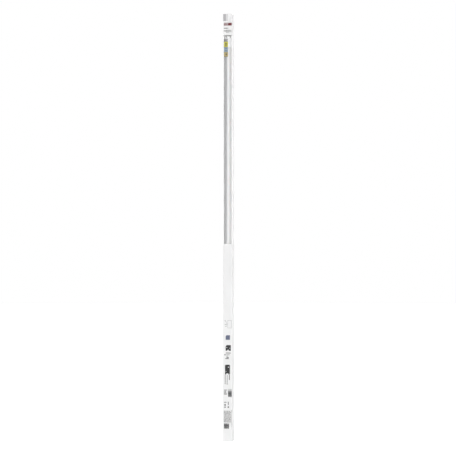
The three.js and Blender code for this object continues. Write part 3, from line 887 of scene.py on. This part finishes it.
def add_lid():
    """The lid panel and the tongue that tucks in behind the front, folded from one sheet."""
    rise = TONGUE_HIGH - 0.4
    stations, folds = stations_along([
        (LID_HIGH.y, LID_LOW.z), (LID_LOW.y, LID_LOW.z),
        (LID_LOW.y + rise * math.tan(TONGUE_LEAN), rise),
    ])
    end = stations[-1][0]
    outline = [(0, LID_LOW.x), (end, LID_LOW.x), (end, LID_HIGH.x), (0, LID_HIGH.x)]
    outline = [outline[0], *rounded_corner(*outline[:3], TONGUE_CORNER, 6),
               *rounded_corner(*outline[1:], TONGUE_CORNER, 6), outline[3]]
    build = flat_sheet(outline, folds[0], [])
    mesh = folded(build, stations, lambda point, x, _: Vector((x, point.x, point.y)),
                  (0, 0, 3 * TONGUE_HIGH))
    piece("bottom_lid", mesh, "bottom_lid", "white_paperboard", BOARD_FACES,
          ["bottom_lid_panel", "bottom_lid_tongue"], 50)


def board_plate(outlines, low, high):
    """A flat plate of board whose cut edges show the core."""
    mesh = prism(outlines, low, high)
    for face in mesh.polygons:
        face.material_index = 0 if abs(face.normal.z) > 0.5 else 1
    return mesh


def add_dust_flaps():
    for side in ("left", "right"):
        low, high = corners(f"dust_flap_{side}")
        sign = 1 if side == "right" else -1
        root, tip = max(abs(low.x), abs(high.x)), min(abs(low.x), abs(high.x))
        outline = [(root, low.y), (tip, low.y + FLAP_TAPER), (tip, high.y - (root - tip)), (root, high.y)]
        outline = [*rounded_corner(*outline[:3], 2, 5), *rounded_corner(*outline[1:], 3, 5),
                   outline[3], outline[0]]
        outline = [(x * sign, y) for x, y in outline]
        mesh = board_plate([outline], low.z, high.z)
        piece(f"dust_flap_{side}_board", mesh, f"dust_flap_{side}", "white_paperboard",
              (WHITE_BOARD, BOARD_EDGE), [f"dust_flap_{side}"])


# ---- end insert and starter


INSERT_CUTS = (-6, 0, 6)
STARTER_GAP = 0.3


def add_insert():
    """A strip of plain board folded into a box, and the shelf that holds the starter's can."""
    low, high = corners("insert_left_leg")
    leg = -low.x
    top = corners("insert_top_panel")[1].z
    bottom = corners("insert_bottom_shelf")[0].z
    stations, folds = stations_along([
        (-leg, bottom + BOARD), (-leg, top), (leg, top), (leg, bottom), (-leg + BOARD + 0.05, bottom),
    ])
    end = stations[-1][0]
    outline = [(0, low.y), (end, low.y), (end, high.y), (0, high.y)]
    build = flat_sheet(outline, [u for fold in folds for u in fold], INSERT_CUTS)
    mesh = folded(build, stations, lambda point, y, _: Vector((point.x, y, point.y)),
                  (0, 0, (top + bottom) / 2))
    nodes = [f"insert_{part}" for part in ("top_panel", "left_leg", "right_leg", "bottom_shelf")]
    piece("insert_strip", mesh, "end_insert", "grey_paperboard",
          (PLAIN_BOARD, BOARD_EDGE, PLAIN_BOARD), nodes, 50)

    low, high = corners("insert_collar_shelf")
    hole = max(from_axis("starter_can")) + STARTER_GAP
    shelf = rounded_outline([(low.x, low.y), (high.x, low.y), (high.x, high.y), (low.x, high.y)], 1)
    mesh = board_plate([shelf, circle(0, 0, hole, 72)], low.z, high.z)
    piece("insert_shelf", mesh, "end_insert", "grey_paperboard", (PLAIN_BOARD, BOARD_EDGE),
          ["insert_collar_shelf"])


STARTER_WALL = 0.7
STARTER_RIBS, STARTER_RIB_DEPTH, STARTER_RIB_START = 24, 0.15, 9
STARTER_NECK = 1.6
STARTER_HEAD = 2.5


def add_starter():
    radius = max(from_axis("starter_can"))
    low, high = heights("starter_can")
    edge = 0.6
    ribs_low = low + STARTER_RIB_START

    def grip(angle, r, z):
        """Fine vertical ribs round the can's outside, below its rim."""
        if r >= radius and ribs_low < z < high - 1:
            return -STARTER_RIB_DEPTH * max(0, math.cos(angle * STARTER_RIBS))
        return 0

    inner = radius - STARTER_WALL
    profile = [(0, low), (radius - edge, low), (radius - 0.17, low + 0.17), (radius, low + edge),
               (radius, ribs_low), (radius, ribs_low + 0.3), (radius, high - 1.3), (radius, high - 1),
               (radius, high), (inner, high), (inner, low + STARTER_WALL), (0, low + STARTER_WALL)]
    piece("starter_can_shell", lathe(profile, 144, grip), "end_insert", "starter_plastic",
          (STARTER_PLASTIC,), ["starter_can"], 40)

    base_low, base_high = heights("starter_base")
    profile = [(0, base_low), (inner - 0.15, base_low), (inner - 0.15, high + 0.05),
               (radius, high + 0.05), (radius, base_high - 0.5), (radius - 0.5, base_high),
               (4.4, base_high), (4.2, base_high - 0.3), (0, base_high - 0.3)]
    piece("starter_base_disc", lathe(profile, 96), "end_insert", "starter_plastic",
          (STARTER_PLASTIC,), ["starter_base"])

    for letter in "ab":
        centre = middle(f"starter_pin_{letter}")
        foot, tip = heights(f"starter_pin_{letter}")
        neck, head = STARTER_NECK, STARTER_HEAD
        profile = [(0, foot), (neck, foot), (neck, tip - 2.2), (head - 0.2, tip - 1.9),
                   (head, tip - 1.6), (head, tip - 0.7), (head - 0.25, tip - 0.2),
                   (head - 0.8, tip), (0, tip)]
        mesh = moved(lathe(profile, 48), at(centre.x, centre.y, 0))
        piece(f"starter_contact_{letter}", mesh, "end_insert", "contact_nickel", (PIN_METAL,),
              [f"starter_pin_{letter}"])


# ---- tube

TUBE_RADIUS = max(from_axis("diffuser"))
SEAM = 0.05
SINK_WALL = 1.0
DIFFUSER_WALL = 0.9
WEB_FRONT, WEB_BACK = -1.4, -2.4
RIB_DEPTH = 0.16
OUTLINE_STEPS = 240
RIBS = 14
RIB_SPAN = math.radians(128)
LEG_OUTER, LEG_INNER, LEG_TIP, LEG_FOOT = 11.0, 10.4, -0.9, 1.0
TUBE_LOW, TUBE_HIGH = heights("heat_sink_profile")


def heat_sink_outlines():
    """The extrusion's section: a ribbed half-round wall and the web that carries the LEDs."""
    start = math.acos(-SEAM / TUBE_RADIUS)
    outer = []
    for i in range(OUTLINE_STEPS + 1):
        angle = start + (2 * math.pi - 2 * start) * i / OUTLINE_STEPS
        across = 2 * (angle - math.pi) / RIB_SPAN
        wave = math.cos((across + 1) * RIBS * math.pi) if abs(across) < 1 else 1
        r = TUBE_RADIUS - RIB_DEPTH * (1 - wave) / 2
        outer.append((r * math.cos(angle), r * math.sin(angle)))
    inner = TUBE_RADIUS - SINK_WALL
    lip = math.sqrt(inner ** 2 - SEAM ** 2)
    web = math.sqrt(inner ** 2 - WEB_FRONT ** 2)
    outer += [(-SEAM, -lip), (WEB_FRONT, -web), (WEB_FRONT, web), (-SEAM, lip)]
    bend = math.acos(WEB_BACK / inner)
    chamber = arc(inner, bend, 2 * math.pi - bend, 72)
    return [outer, chamber]


def diffuser_outline():
    """The cover's section: a half-round wall and the two legs that snap in behind the seam."""
    edge = math.acos(SEAM / TUBE_RADIUS)
    inner = TUBE_RADIUS - DIFFUSER_WALL
    bend = math.acos(LEG_FOOT / inner)
    leg = [(SEAM, LEG_OUTER), (LEG_TIP, LEG_OUTER), (LEG_TIP, LEG_INNER), (LEG_FOOT, LEG_INNER)]
    other_leg = [(x, -y) for x, y in reversed(leg)]
    return [*arc(TUBE_RADIUS, -edge, edge, 96), *leg, *arc(inner, bend, -bend, 84), *other_leg]


def add_profile(name, slot, look, node_name, outlines):
    mesh = moved(prism(outlines, TUBE_LOW, TUBE_HIGH), TUBE_TURN)
    piece(name, mesh, "tube", slot, (look,), [node_name])


COLLAR_RADIUS = max(from_axis("end_collar_top"))
COLLAR_INNER = 12.35
COLLAR_OVERLAP = 10
COLLAR_GROOVES = ((-8.2, -7.4), (6.9, 7.65))
BULKHEAD, COLLAR_FACE, COLLAR_HOLE = 7, 8.5, 5.3
CAP_START, CAP_DISC, CAP_FACE = 8.8, 15.8, 18
CAP_INNER = 11.8
HUB_INNER, HUB_OUTER, HUB_LIP = 3.6, 5.0, 6.2
HUB_END, HUB_LIP_END = 5.4, 6.7
GRIPS, GRIP_DEPTH = 40, 0.18
ENDS = (("top", TUBE_HIGH, 1), ("bottom", TUBE_LOW, -1))


def cross_recess(size, depth):
    """Two crossed bars to cut into a screw's head at the origin, facing +Z."""
    narrow = size * 0.32
    return [block((-a, -b, -depth), (a, b, 1), 0.02) for a, b in ((size, narrow), (narrow, size))]


def add_end_fittings():
    radius = COLLAR_RADIUS

    def grip(angle, r, _):
        """Fine ribs round the turning cap."""
        return -GRIP_DEPTH * (0.5 + 0.5 * math.cos(angle * GRIPS)) ** 2 if r > radius - 0.01 else 0

    for end, z0, out in ENDS:
        profile = [
            (COLLAR_INNER, -COLLAR_OVERLAP), (radius - 0.35, -COLLAR_OVERLAP),
            (radius - 0.1, -COLLAR_OVERLAP + 0.1), (radius, -COLLAR_OVERLAP + 0.35),
            *groove(radius, *COLLAR_GROOVES[0]), *groove(radius, *COLLAR_GROOVES[1]),
            (radius, COLLAR_FACE - 0.25), (radius - 0.25, COLLAR_FACE), (COLLAR_HOLE + 0.2, COLLAR_FACE),
            (COLLAR_HOLE, COLLAR_FACE - 0.2), (COLLAR_HOLE, BULKHEAD), (COLLAR_INNER, BULKHEAD),
            (COLLAR_INNER, -COLLAR_OVERLAP),
        ]
        collar = lathe(profile, 120, z0=z0, direction=out)
        collar = without(collar, *[add_collar_screw(end, letter) for letter in "ab"])
        piece(f"collar_{end}", collar, "tube", "cap_plastic", (CAP_PLASTIC,), [f"end_collar_{end}"])

        profile = [
            (0, CAP_FACE), (4.6, CAP_FACE), (radius - 1.0, CAP_FACE), (radius - 0.45, CAP_FACE - 0.12),
            (radius - 0.12, CAP_FACE - 0.45), (radius - 0.02, CAP_FACE - 1.0), (radius, CAP_FACE - 1.3),
            (radius, CAP_START + 1.3), (radius - 0.02, CAP_START + 1.0), (radius - 0.02, CAP_START + 0.2),
            (radius - 0.2, CAP_START), (CAP_INNER, CAP_START), (CAP_INNER, CAP_DISC),
            (HUB_OUTER, CAP_DISC), (HUB_OUTER, HUB_LIP_END), (HUB_LIP, HUB_LIP_END),
            (HUB_LIP - 0.4, HUB_END), (HUB_INNER, HUB_END), (HUB_INNER, CAP_DISC), (0, CAP_DISC),
        ]
        shell = lathe(profile, 240, grip, z0, out)
        piece(f"end_cap_{end}", shell, f"end_cap_{end}", "cap_plastic", (CAP_PLASTIC,),
              [f"end_cap_{end}_shell"], 40)
        for letter in "ab":
            add_cap_pin(end, z0, out, letter)


PIN_RADIUS, PIN_BORE, PIN_BORE_DEPTH = 1.175, 0.38, 1.6
SEAL_RADIUS, SEAL_GAP, SEAL_RISE, SEAL_SUNK = 2.1, 0.02, 0.33, 0.3


def add_cap_pin(end, z0, out, letter):
    """A hollow contact pin with a rounded tip, and the seal at its foot."""
    node_name = f"end_cap_{end}_pin_{letter}"
    centre = middle(node_name)
    foot, tip = sorted((height - z0) * out for height in heights(node_name))
    r = PIN_RADIUS
    pin = [(0, foot), (r, foot), (r, tip - 0.9), (r * 0.93, tip - 0.5), (r * 0.72, tip - 0.17),
           (PIN_BORE + 0.07, tip), (PIN_BORE, tip), (PIN_BORE, tip - PIN_BORE_DEPTH),
           (0, tip - PIN_BORE_DEPTH)]
    low, high, hole = CAP_FACE - SEAL_SUNK, CAP_FACE + SEAL_RISE, r + SEAL_GAP
    seal = [(hole, low), (SEAL_RADIUS, low), (SEAL_RADIUS, high - 0.15), (SEAL_RADIUS - 0.15, high),
            (hole, high), (hole, low)]
    for name, profile, slot, look, nodes in (
            ("contact_pin", pin, "contact_nickel", PIN_METAL, [node_name]),
            ("pin_seal", seal, "chip_black", PIN_SEAL, [])):
        mesh = moved(lathe(profile, 40, z0=z0, direction=out), at(centre.x, centre.y, 0))
        piece(f"{name}_{end}_{letter}", mesh, f"end_cap_{end}", slot, (look,), nodes)


SCREW_HEAD, SCREW_SHANK, SCREW_HEAD_DEPTH = 1.6, 0.9, 0.5
SCREW_SUNK = 0.1
SCREW_TURNS = 5


def add_collar_screw(end, letter):
    """A small cross-head screw set radially in the collar. Gives back the seat to cut for it."""
    name = f"collar_screw_{end}_{letter}"
    centre = middle(name)
    out = Vector((centre.x, centre.y, 0)).normalized()
    head = COLLAR_RADIUS - SCREW_SUNK
    length = head - min(from_axis(name))
    place_screw = Matrix.Translation((out * head + Vector((0, 0, centre.z))) * MM)
    place_screw = place_screw @ out.to_track_quat("Z", "Y").to_matrix().to_4x4()
    r = SCREW_HEAD
    profile = [(0, 0.0), (r - 0.5, -0.02), (r - 0.15, -0.12), (r, -0.3), (r, -SCREW_HEAD_DEPTH)]
    pitch = (length - SCREW_HEAD_DEPTH - 0.4) / SCREW_TURNS
    for i in range(SCREW_TURNS):
        z = -SCREW_HEAD_DEPTH - pitch * i
        profile += [(SCREW_SHANK - 0.18, z - 0.01), (SCREW_SHANK, z - pitch / 2)]
    profile += [(SCREW_SHANK - 0.2, -length + 0.35), (0, -length)]
    screw = without(lathe(profile, 40), *cross_recess(0.95, 0.32))
    piece(f"{name}_zinc", moved(screw, place_screw), "tube", "screw_steel", (SCREW_METAL,), [name])
    seat = lathe([(0, 2), (r + 0.12, 2), (r + 0.12, -2.2), (0, -2.2)], 40)
    return moved(seat, place_screw)


# ---- inside the tube


def ring(x, y, z, wide, long, radius):
    """A rounded rectangle that faces along X."""
    return [(x, *point) for point in rounded_outline(rectangle(y, z, wide, long), radius, 3)]


def turned(profile, x, y, z, axis, sides=40):
    """A lathe shape from a point along the tube's own X or Z."""
    turn = Matrix.Rotation(-math.pi / 2, 4, "Y") if axis == "X" else Matrix.Identity(4)
    return moved(lathe(profile, sides), at(x, y, z) @ turn)


def inner_piece(name, slot, looks, nodes, *parts):
    """A piece made in the tube's own frame from (mesh, look number) parts."""
    piece(name, moved(joined(*parts), TUBE_TURN), "tube", slot, looks, nodes)


LED_COUNT, LED_PITCH = 72, 16
LED_WIDE, LED_LONG = 2.8, 3.5
WELL_WIDE, WELL_LONG, WELL_DEPTH = 2.1, 2.8, 0.2
RIDGE_NEAR, RIDGE_FAR, RIDGE_END = 3.2, 7.6, 3
PAD_PLACE = 6


def led_package(face, top):
    """A white package with a sloped well, its phosphor and its two solder joints, at z = 0."""
    body = loft([
        ring(face + 0.02, 0, 0, LED_WIDE, LED_LONG, 0.15),
        ring(face + 0.5, 0, 0, LED_WIDE, LED_LONG, 0.15),
        ring(top, 0, 0, LED_WIDE - 0.15, LED_LONG - 0.15, 0.15),
        ring(top, 0, 0, WELL_WIDE, WELL_LONG, 0.45),
        ring(top - WELL_DEPTH, 0, 0, WELL_WIDE - 0.3, WELL_LONG - 0.3, 0.35),
    ])
    phosphor = loft([
        ring(top - WELL_DEPTH + 0.01, 0, 0, WELL_WIDE - 0.32, WELL_LONG - 0.32, 0.35),
        ring(top - WELL_DEPTH + 0.07, 0, 0, WELL_WIDE - 0.26, WELL_LONG - 0.26, 0.35),
        ring(top - WELL_DEPTH + 0.1, 0, 0, WELL_WIDE - 0.6, WELL_LONG - 0.6, 0.3),
    ])
    parts = [(body, 0), (phosphor, 1)]
    for side in (-1, 1):
        z = side * (LED_LONG / 2 + 0.35)
        joint = [ring(face + 0.01, 0, z, 2.0, 0.62, 0.1), ring(face + 0.12, 0, z, 1.9, 0.5, 0.1)]
        parts.append((loft(joint), 2))
    return joined(*parts)


def add_led_board():
    low, high = tube_corners("led_board")
    parts = [(block(low, high, 0.12), 0)]
    # the copper under the mask, seen as low ridges, and a pad for each lead at the driver's end
    for side in (-1, 1):
        near, far = sorted((side * RIDGE_NEAR, side * RIDGE_FAR))
        ridge = block((high.x - 0.01, near, low.z + RIDGE_END),
                      (high.x + 0.04, far, high.z - RIDGE_END), 0.02)
        pad = loft([ring(high.x + 0.03, side * PAD_PLACE, high.z - PAD_PLACE, 3, 4, 0.4),
                    ring(high.x + 0.1, side * PAD_PLACE, high.z - PAD_PLACE, 2.8, 3.8, 0.4)])
        parts += [(ridge, 0), (pad, 1)]
    inner_piece("led_board_panel", "white_solder_mask", (SOLDER_MASK, TIN), ["led_board"], *parts)

    strip_low, strip_high = tube_corners("led_strip")
    package = led_package(high.x, strip_high.x)
    first_z = halfway(strip_low, strip_high)[2] - (LED_COUNT - 1) / 2 * LED_PITCH
    places = [at(0, 0, first_z + i * LED_PITCH) for i in range(LED_COUNT)]
    inner_piece("led_packages", "led_package", (LED_BODY, PHOSPHOR, TIN), ["led_strip"],
                *((moved(package.copy(), place), None) for place in places))


BOARD_LOW, BOARD_HIGH = tube_corners("driver_board")
LEAD_RADIUS, LEG_RADIUS = 0.3, 0.17
LEAD_END = BOARD_HIGH.x + 0.2
SOLDER_CONE = [(0, -0.27), (0.45, -0.27), (0.6, -0.2), (1.0, -0.02), (0, -0.02)]
# name, word for its shape, slot, look, softness of its edges, and how far its legs are from its middle
TWO_LEGGED = (("film_capacitor", "box", "film_capacitor", FILM_CAP_RED, 0.9, 3.4),
              ("varistor", "disc", "varistor_blue", VARISTOR_BLUE, 1.3, 1.8))
CHOKE_TURNS, CHOKE_CORE, CHOKE_FLANGE = 7, 2.2, 1
BOBBIN_FLANGE = 1.1
BOBBIN_PINS = (-2.6, 0, 2.6)
BAND_HEIGHTS = (2.8, 4.1, 5.4)


def bent_lead(x, y, z, out):
    """A lead that leaves a part along the tube, turns and goes through the driver's board."""
    return wire([(x, y, z - out * 0.4), (x, y, z + out * 0.7), (x + 0.3, y, z + out),
                 (LEAD_END, y, z + out)], LEAD_RADIUS)


def straight_lead(x, y, z):
    return wire([(x, y, z), (LEAD_END, y, z)], LEAD_RADIUS)


def add_driver_can(name):
    """A can capacitor that lies along the board. Like each part with leads through the board, it
    gives back the (y, z) places where they come out.
    """
    low, high = tube_corners(f"driver_{name}_capacitor")
    radius, long = (high.y - low.y) / 2, high.z - low.z
    x, y, _ = halfway(low, high)
    shell = [(0, 0), (radius - 0.35, 0), (radius - 0.08, 0.12), (radius, 0.45),
             *groove(radius, long - 2.6, long - 1.5, 0.35, 0.4),
             (radius, long - 0.4), (radius - 0.3, long), (radius - 0.8, long), (0, long - 0.25)]
    top = [(0, -0.015), (radius - 0.7, -0.015), (radius - 0.7, 0.1), (0, 0.1)]
    inner_piece(f"driver_{name}_capacitor_can", "capacitor_sleeve", (CAN_SLEEVE, CAN_TOP, TIN),
                [f"driver_{name}_capacitor"], (turned(shell, x, y, low.z, "Z"), 0),
                (turned(top, x, y, low.z, "Z"), 1),
                *((bent_lead(x, side, high.z, 1), 2) for side in (y - 1, y + 1)))
    return [(y - 1, high.z + 1), (y + 1, high.z + 1)]


def add_two_legged(name, shape, slot, look, softness, apart):
    """A small upright part on two straight leads."""
    low, high = tube_corners(f"driver_{name}")
    _, y, z = halfway(low, high)
    legs = [(y - apart, z), (y + apart, z)]
    inner_piece(f"driver_{name}_{shape}", slot, (look, TIN), [f"driver_{name}"],
                (block(low, high, softness), 0),
                *((straight_lead(high.x - 0.5, *leg), 1) for leg in legs))
    return legs


def add_driver_resistor():
    """The fusible resistor, with its colour bands."""
    low, high = tube_corners("driver_fusible_resistor")
    x, y, _ = halfway(low, high)
    long, end = high.z - low.z, (high.y - low.y) / 2
    waist = end - 0.2
    shape = mirrored([(0, 0), (end - 0.5, 0), (end, 0.5), (end, 1.9), (waist, 2.5)], long)
    bands = []
    for z in BAND_HEIGHTS:
        band = [(waist, z), (waist + 0.03, z), (waist + 0.03, z + 0.7), (waist, z + 0.7), (waist, z)]
        bands.append((turned(band, x, y, low.z, "Z"), 1))
    inner_piece("driver_resistor_body", "resistor_body", (RESISTOR_BODY, RESISTOR_BAND, TIN),
                ["driver_fusible_resistor"], (turned(shape, x, y, low.z, "Z"), 0), *bands,
                (bent_lead(x, y, high.z, 1), 2), (bent_lead(x, y, low.z, -1), 2))
    return [(y, high.z + 1), (y, low.z - 1)]


def add_driver_chip(name, legs_a_side):
    """A moulded package on the board's back, with bent legs along both sides."""
    low, high = tube_corners(f"driver_{name}")
    wide, long = high.y - low.y, high.z - low.z
    waist, y, z = halfway(low, high)
    body = loft([ring(high.x, y, z, wide - 1.3, long - 0.3, 0.2), ring(waist, y, z, wide - 1.1, long, 0.2),
                 ring(low.x, y, z, wide - 1.5, long - 0.4, 0.2)])
    dot = turned([(0, 0), (0.35, 0), (0.35, 0.04), (0, 0.04)], low.x + 0.02, y + wide / 4 - 0.4,
                 z + long / 4, "X", 20)
    parts = [(body, 0), (dot, 1)]
    foot = BOARD_LOW.x - 0.2
    for side in (-1, 1):
        edge = y + side * (wide / 2 - 0.75)
        for i in range(legs_a_side):
            at_z = low.z + long * (i + 0.5) / legs_a_side
            path = [(waist, edge, at_z), (waist, edge + side * 0.35, at_z),
                    (foot, edge + side * 0.5, at_z), (foot, y + side * (wide / 2 + 0.2), at_z)]
            parts.append((wire(path, LEG_RADIUS), 2))
    inner_piece(f"driver_{name}_package", "chip_black", (CHIP_BLACK, CAN_TOP, TIN),
                [f"driver_{name}"], *parts)


def add_driver_choke():
    """A drum core that stands on the board, wound with copper."""
    low, high = tube_corners("driver_choke")
    height, flange = high.x - low.x, (high.z - low.z) / 2
    inner, rim = height - CHOKE_FLANGE, flange - 0.2
    drum = mirrored([(0, 0), (rim, 0), (flange, 0.2), (flange, CHOKE_FLANGE - 0.2),
                     (rim, CHOKE_FLANGE), (CHOKE_CORE, CHOKE_FLANGE)], height)
    first, pitch = CHOKE_FLANGE + 0.05, (inner - CHOKE_FLANGE - 0.1) / CHOKE_TURNS
    turns = [(CHOKE_CORE + 0.05, first)]
    for i in range(CHOKE_TURNS):
        turns += [(2.95, first + pitch * (i + 0.2)), (3.05, first + pitch * (i + 0.5)),
                  (2.95, first + pitch * (i + 0.8))]
    turns += [(CHOKE_CORE + 0.05, inner - 0.05), turns[0]]
    place = (high.x, 0, halfway(low, high)[2], "X")
    inner_piece("driver_choke_drum", "ferrite", (FERRITE, COPPER), ["driver_choke"],
                (turned(drum, *place), 0), (turned(turns, *place), 1))


def add_driver_transformer():
    """A ferrite frame round a taped winding, whose bobbin stands on a row of pins at each end."""
    low, high = tube_corners("driver_transformer_core")
    wind_low, wind_high = tube_corners("driver_transformer_winding")
    opening = block((wind_low.x - 0.15, wind_low.y - 0.15, low.z - 1),
                    (wind_high.x + 0.15, wind_high.y + 0.15, high.z + 1), 0.05)
    core = without(block(low, high, 0.25), opening)
    inner_piece("driver_transformer_ferrite", "ferrite", (FERRITE,), ["driver_transformer_core"], (core, 0))
    inset = Vector((0.1, 0.1, BOBBIN_FLANGE))
    parts = [(block(wind_low + inset, wind_high - inset, 0.4), 0)]
    pins = []
    for z in (wind_low.z, wind_high.z - BOBBIN_FLANGE):
        flange = block((wind_low.x, wind_low.y, z), (wind_high.x, wind_high.y, z + BOBBIN_FLANGE), 0.2)
        row = [(y, z + BOBBIN_FLANGE / 2) for y in BOBBIN_PINS]
        parts += [(flange, 1), *((straight_lead(wind_high.x - 0.6, *pin), 2) for pin in row)]
        pins += row
    inner_piece("driver_transformer_bobbin", "winding_tape", (WINDING_TAPE, CHIP_BLACK, TIN),
                ["driver_transformer_winding"], *parts)
    return pins


def add_driver():
    """The driver's parts, and its board with a solder cone where each lead comes out."""
    places = [*add_driver_can("input"), *add_driver_can("output")]
    for row in TWO_LEGGED:
        places += add_two_legged(*row)
    places += add_driver_resistor()
    add_driver_chip("rectifier", 2)
    add_driver_chip("control_chip", 4)
    add_driver_choke()
    places += add_driver_transformer()
    joints = [(turned(SOLDER_CONE, BOARD_HIGH.x, y, z, "X", 16), 1) for y, z in places]
    inner_piece("driver_board_panel", "driver_board", (DRIVER_GREEN, TIN), ["driver_board"],
                (block(BOARD_LOW, BOARD_HIGH, 0.1), 0), *joints)


# ---- stage

ROOM_LIGHT = 0.4
FLOOR_RADIUS, FLOOR_DEPTH = 9000, 2
# soft lights: azimuth and height in degrees as for a view, strength, width in degrees
SOFT_LIGHTS = {
    "key": (12.5, 2.5, 0.60, 5),
    "right_fill": (95, 18, 0.21, 36),
    "left_fill": (-90, 8, 0.30, 50),
    "back_fill": (185, 8, 0.45, 50),
    "overhead": (0, 86, 0.60, 40),
}


def direction_to(azimuth, elevation):
    az, el = math.radians(azimuth), math.radians(elevation)
    return Vector((math.sin(az) * math.cos(el), -math.cos(az) * math.cos(el), math.sin(el)))


def add_stage():
    """A pale floor in a white tent, with a broad soft light on each side."""
    floor = add_object("floor", prism([circle(0, 0, FLOOR_RADIUS, 96)], -FLOOR_DEPTH, 0))
    floor.data.materials.append(mottled("floor", (0.93, 0.93, 0.93), 0.8, 0.004, 3))

    # the camera sees the tent at full strength, and the light from it is dimmer
    world = bpy.data.worlds.new("world")
    world.use_nodes = True
    tree = world.node_tree
    seen = node(tree, "ShaderNodeLightPath", {}).outputs["Is Camera Ray"]
    strength = spread(tree, seen, ROOM_LIGHT, 1.0)
    feed(tree, tree.nodes["Background"], {"Color": (1, 1, 1, 1), "Strength": strength})
    bpy.context.scene.world = world

    for name, (azimuth, elevation, strength, width) in SOFT_LIGHTS.items():
        data = bpy.data.lights.new(name, "SUN")
        data.energy = strength * math.pi
        data.angle = math.radians(width)
        light = add_object(name, data)
        light.rotation_mode = "QUATERNION"
        light.rotation_quaternion = direction_to(azimuth, elevation).to_track_quat("Z", "Y")


bpy.context.scene.view_settings.view_transform = "Standard"
add_camera()
finish_kept_nodes()
add_sleeve()
add_film()
add_header_print()
add_film_print()
add_lower_print()
add_lid()
add_dust_flaps()
add_insert()
add_starter()
add_profile("heat_sink_extrusion", "satin_aluminium", ALUMINIUM, "heat_sink_profile", heat_sink_outlines())
add_profile("diffuser_cover", "opal_plastic", OPAL, "diffuser", [diffuser_outline()])
add_end_fittings()
add_led_board()
add_driver()
add_stage()
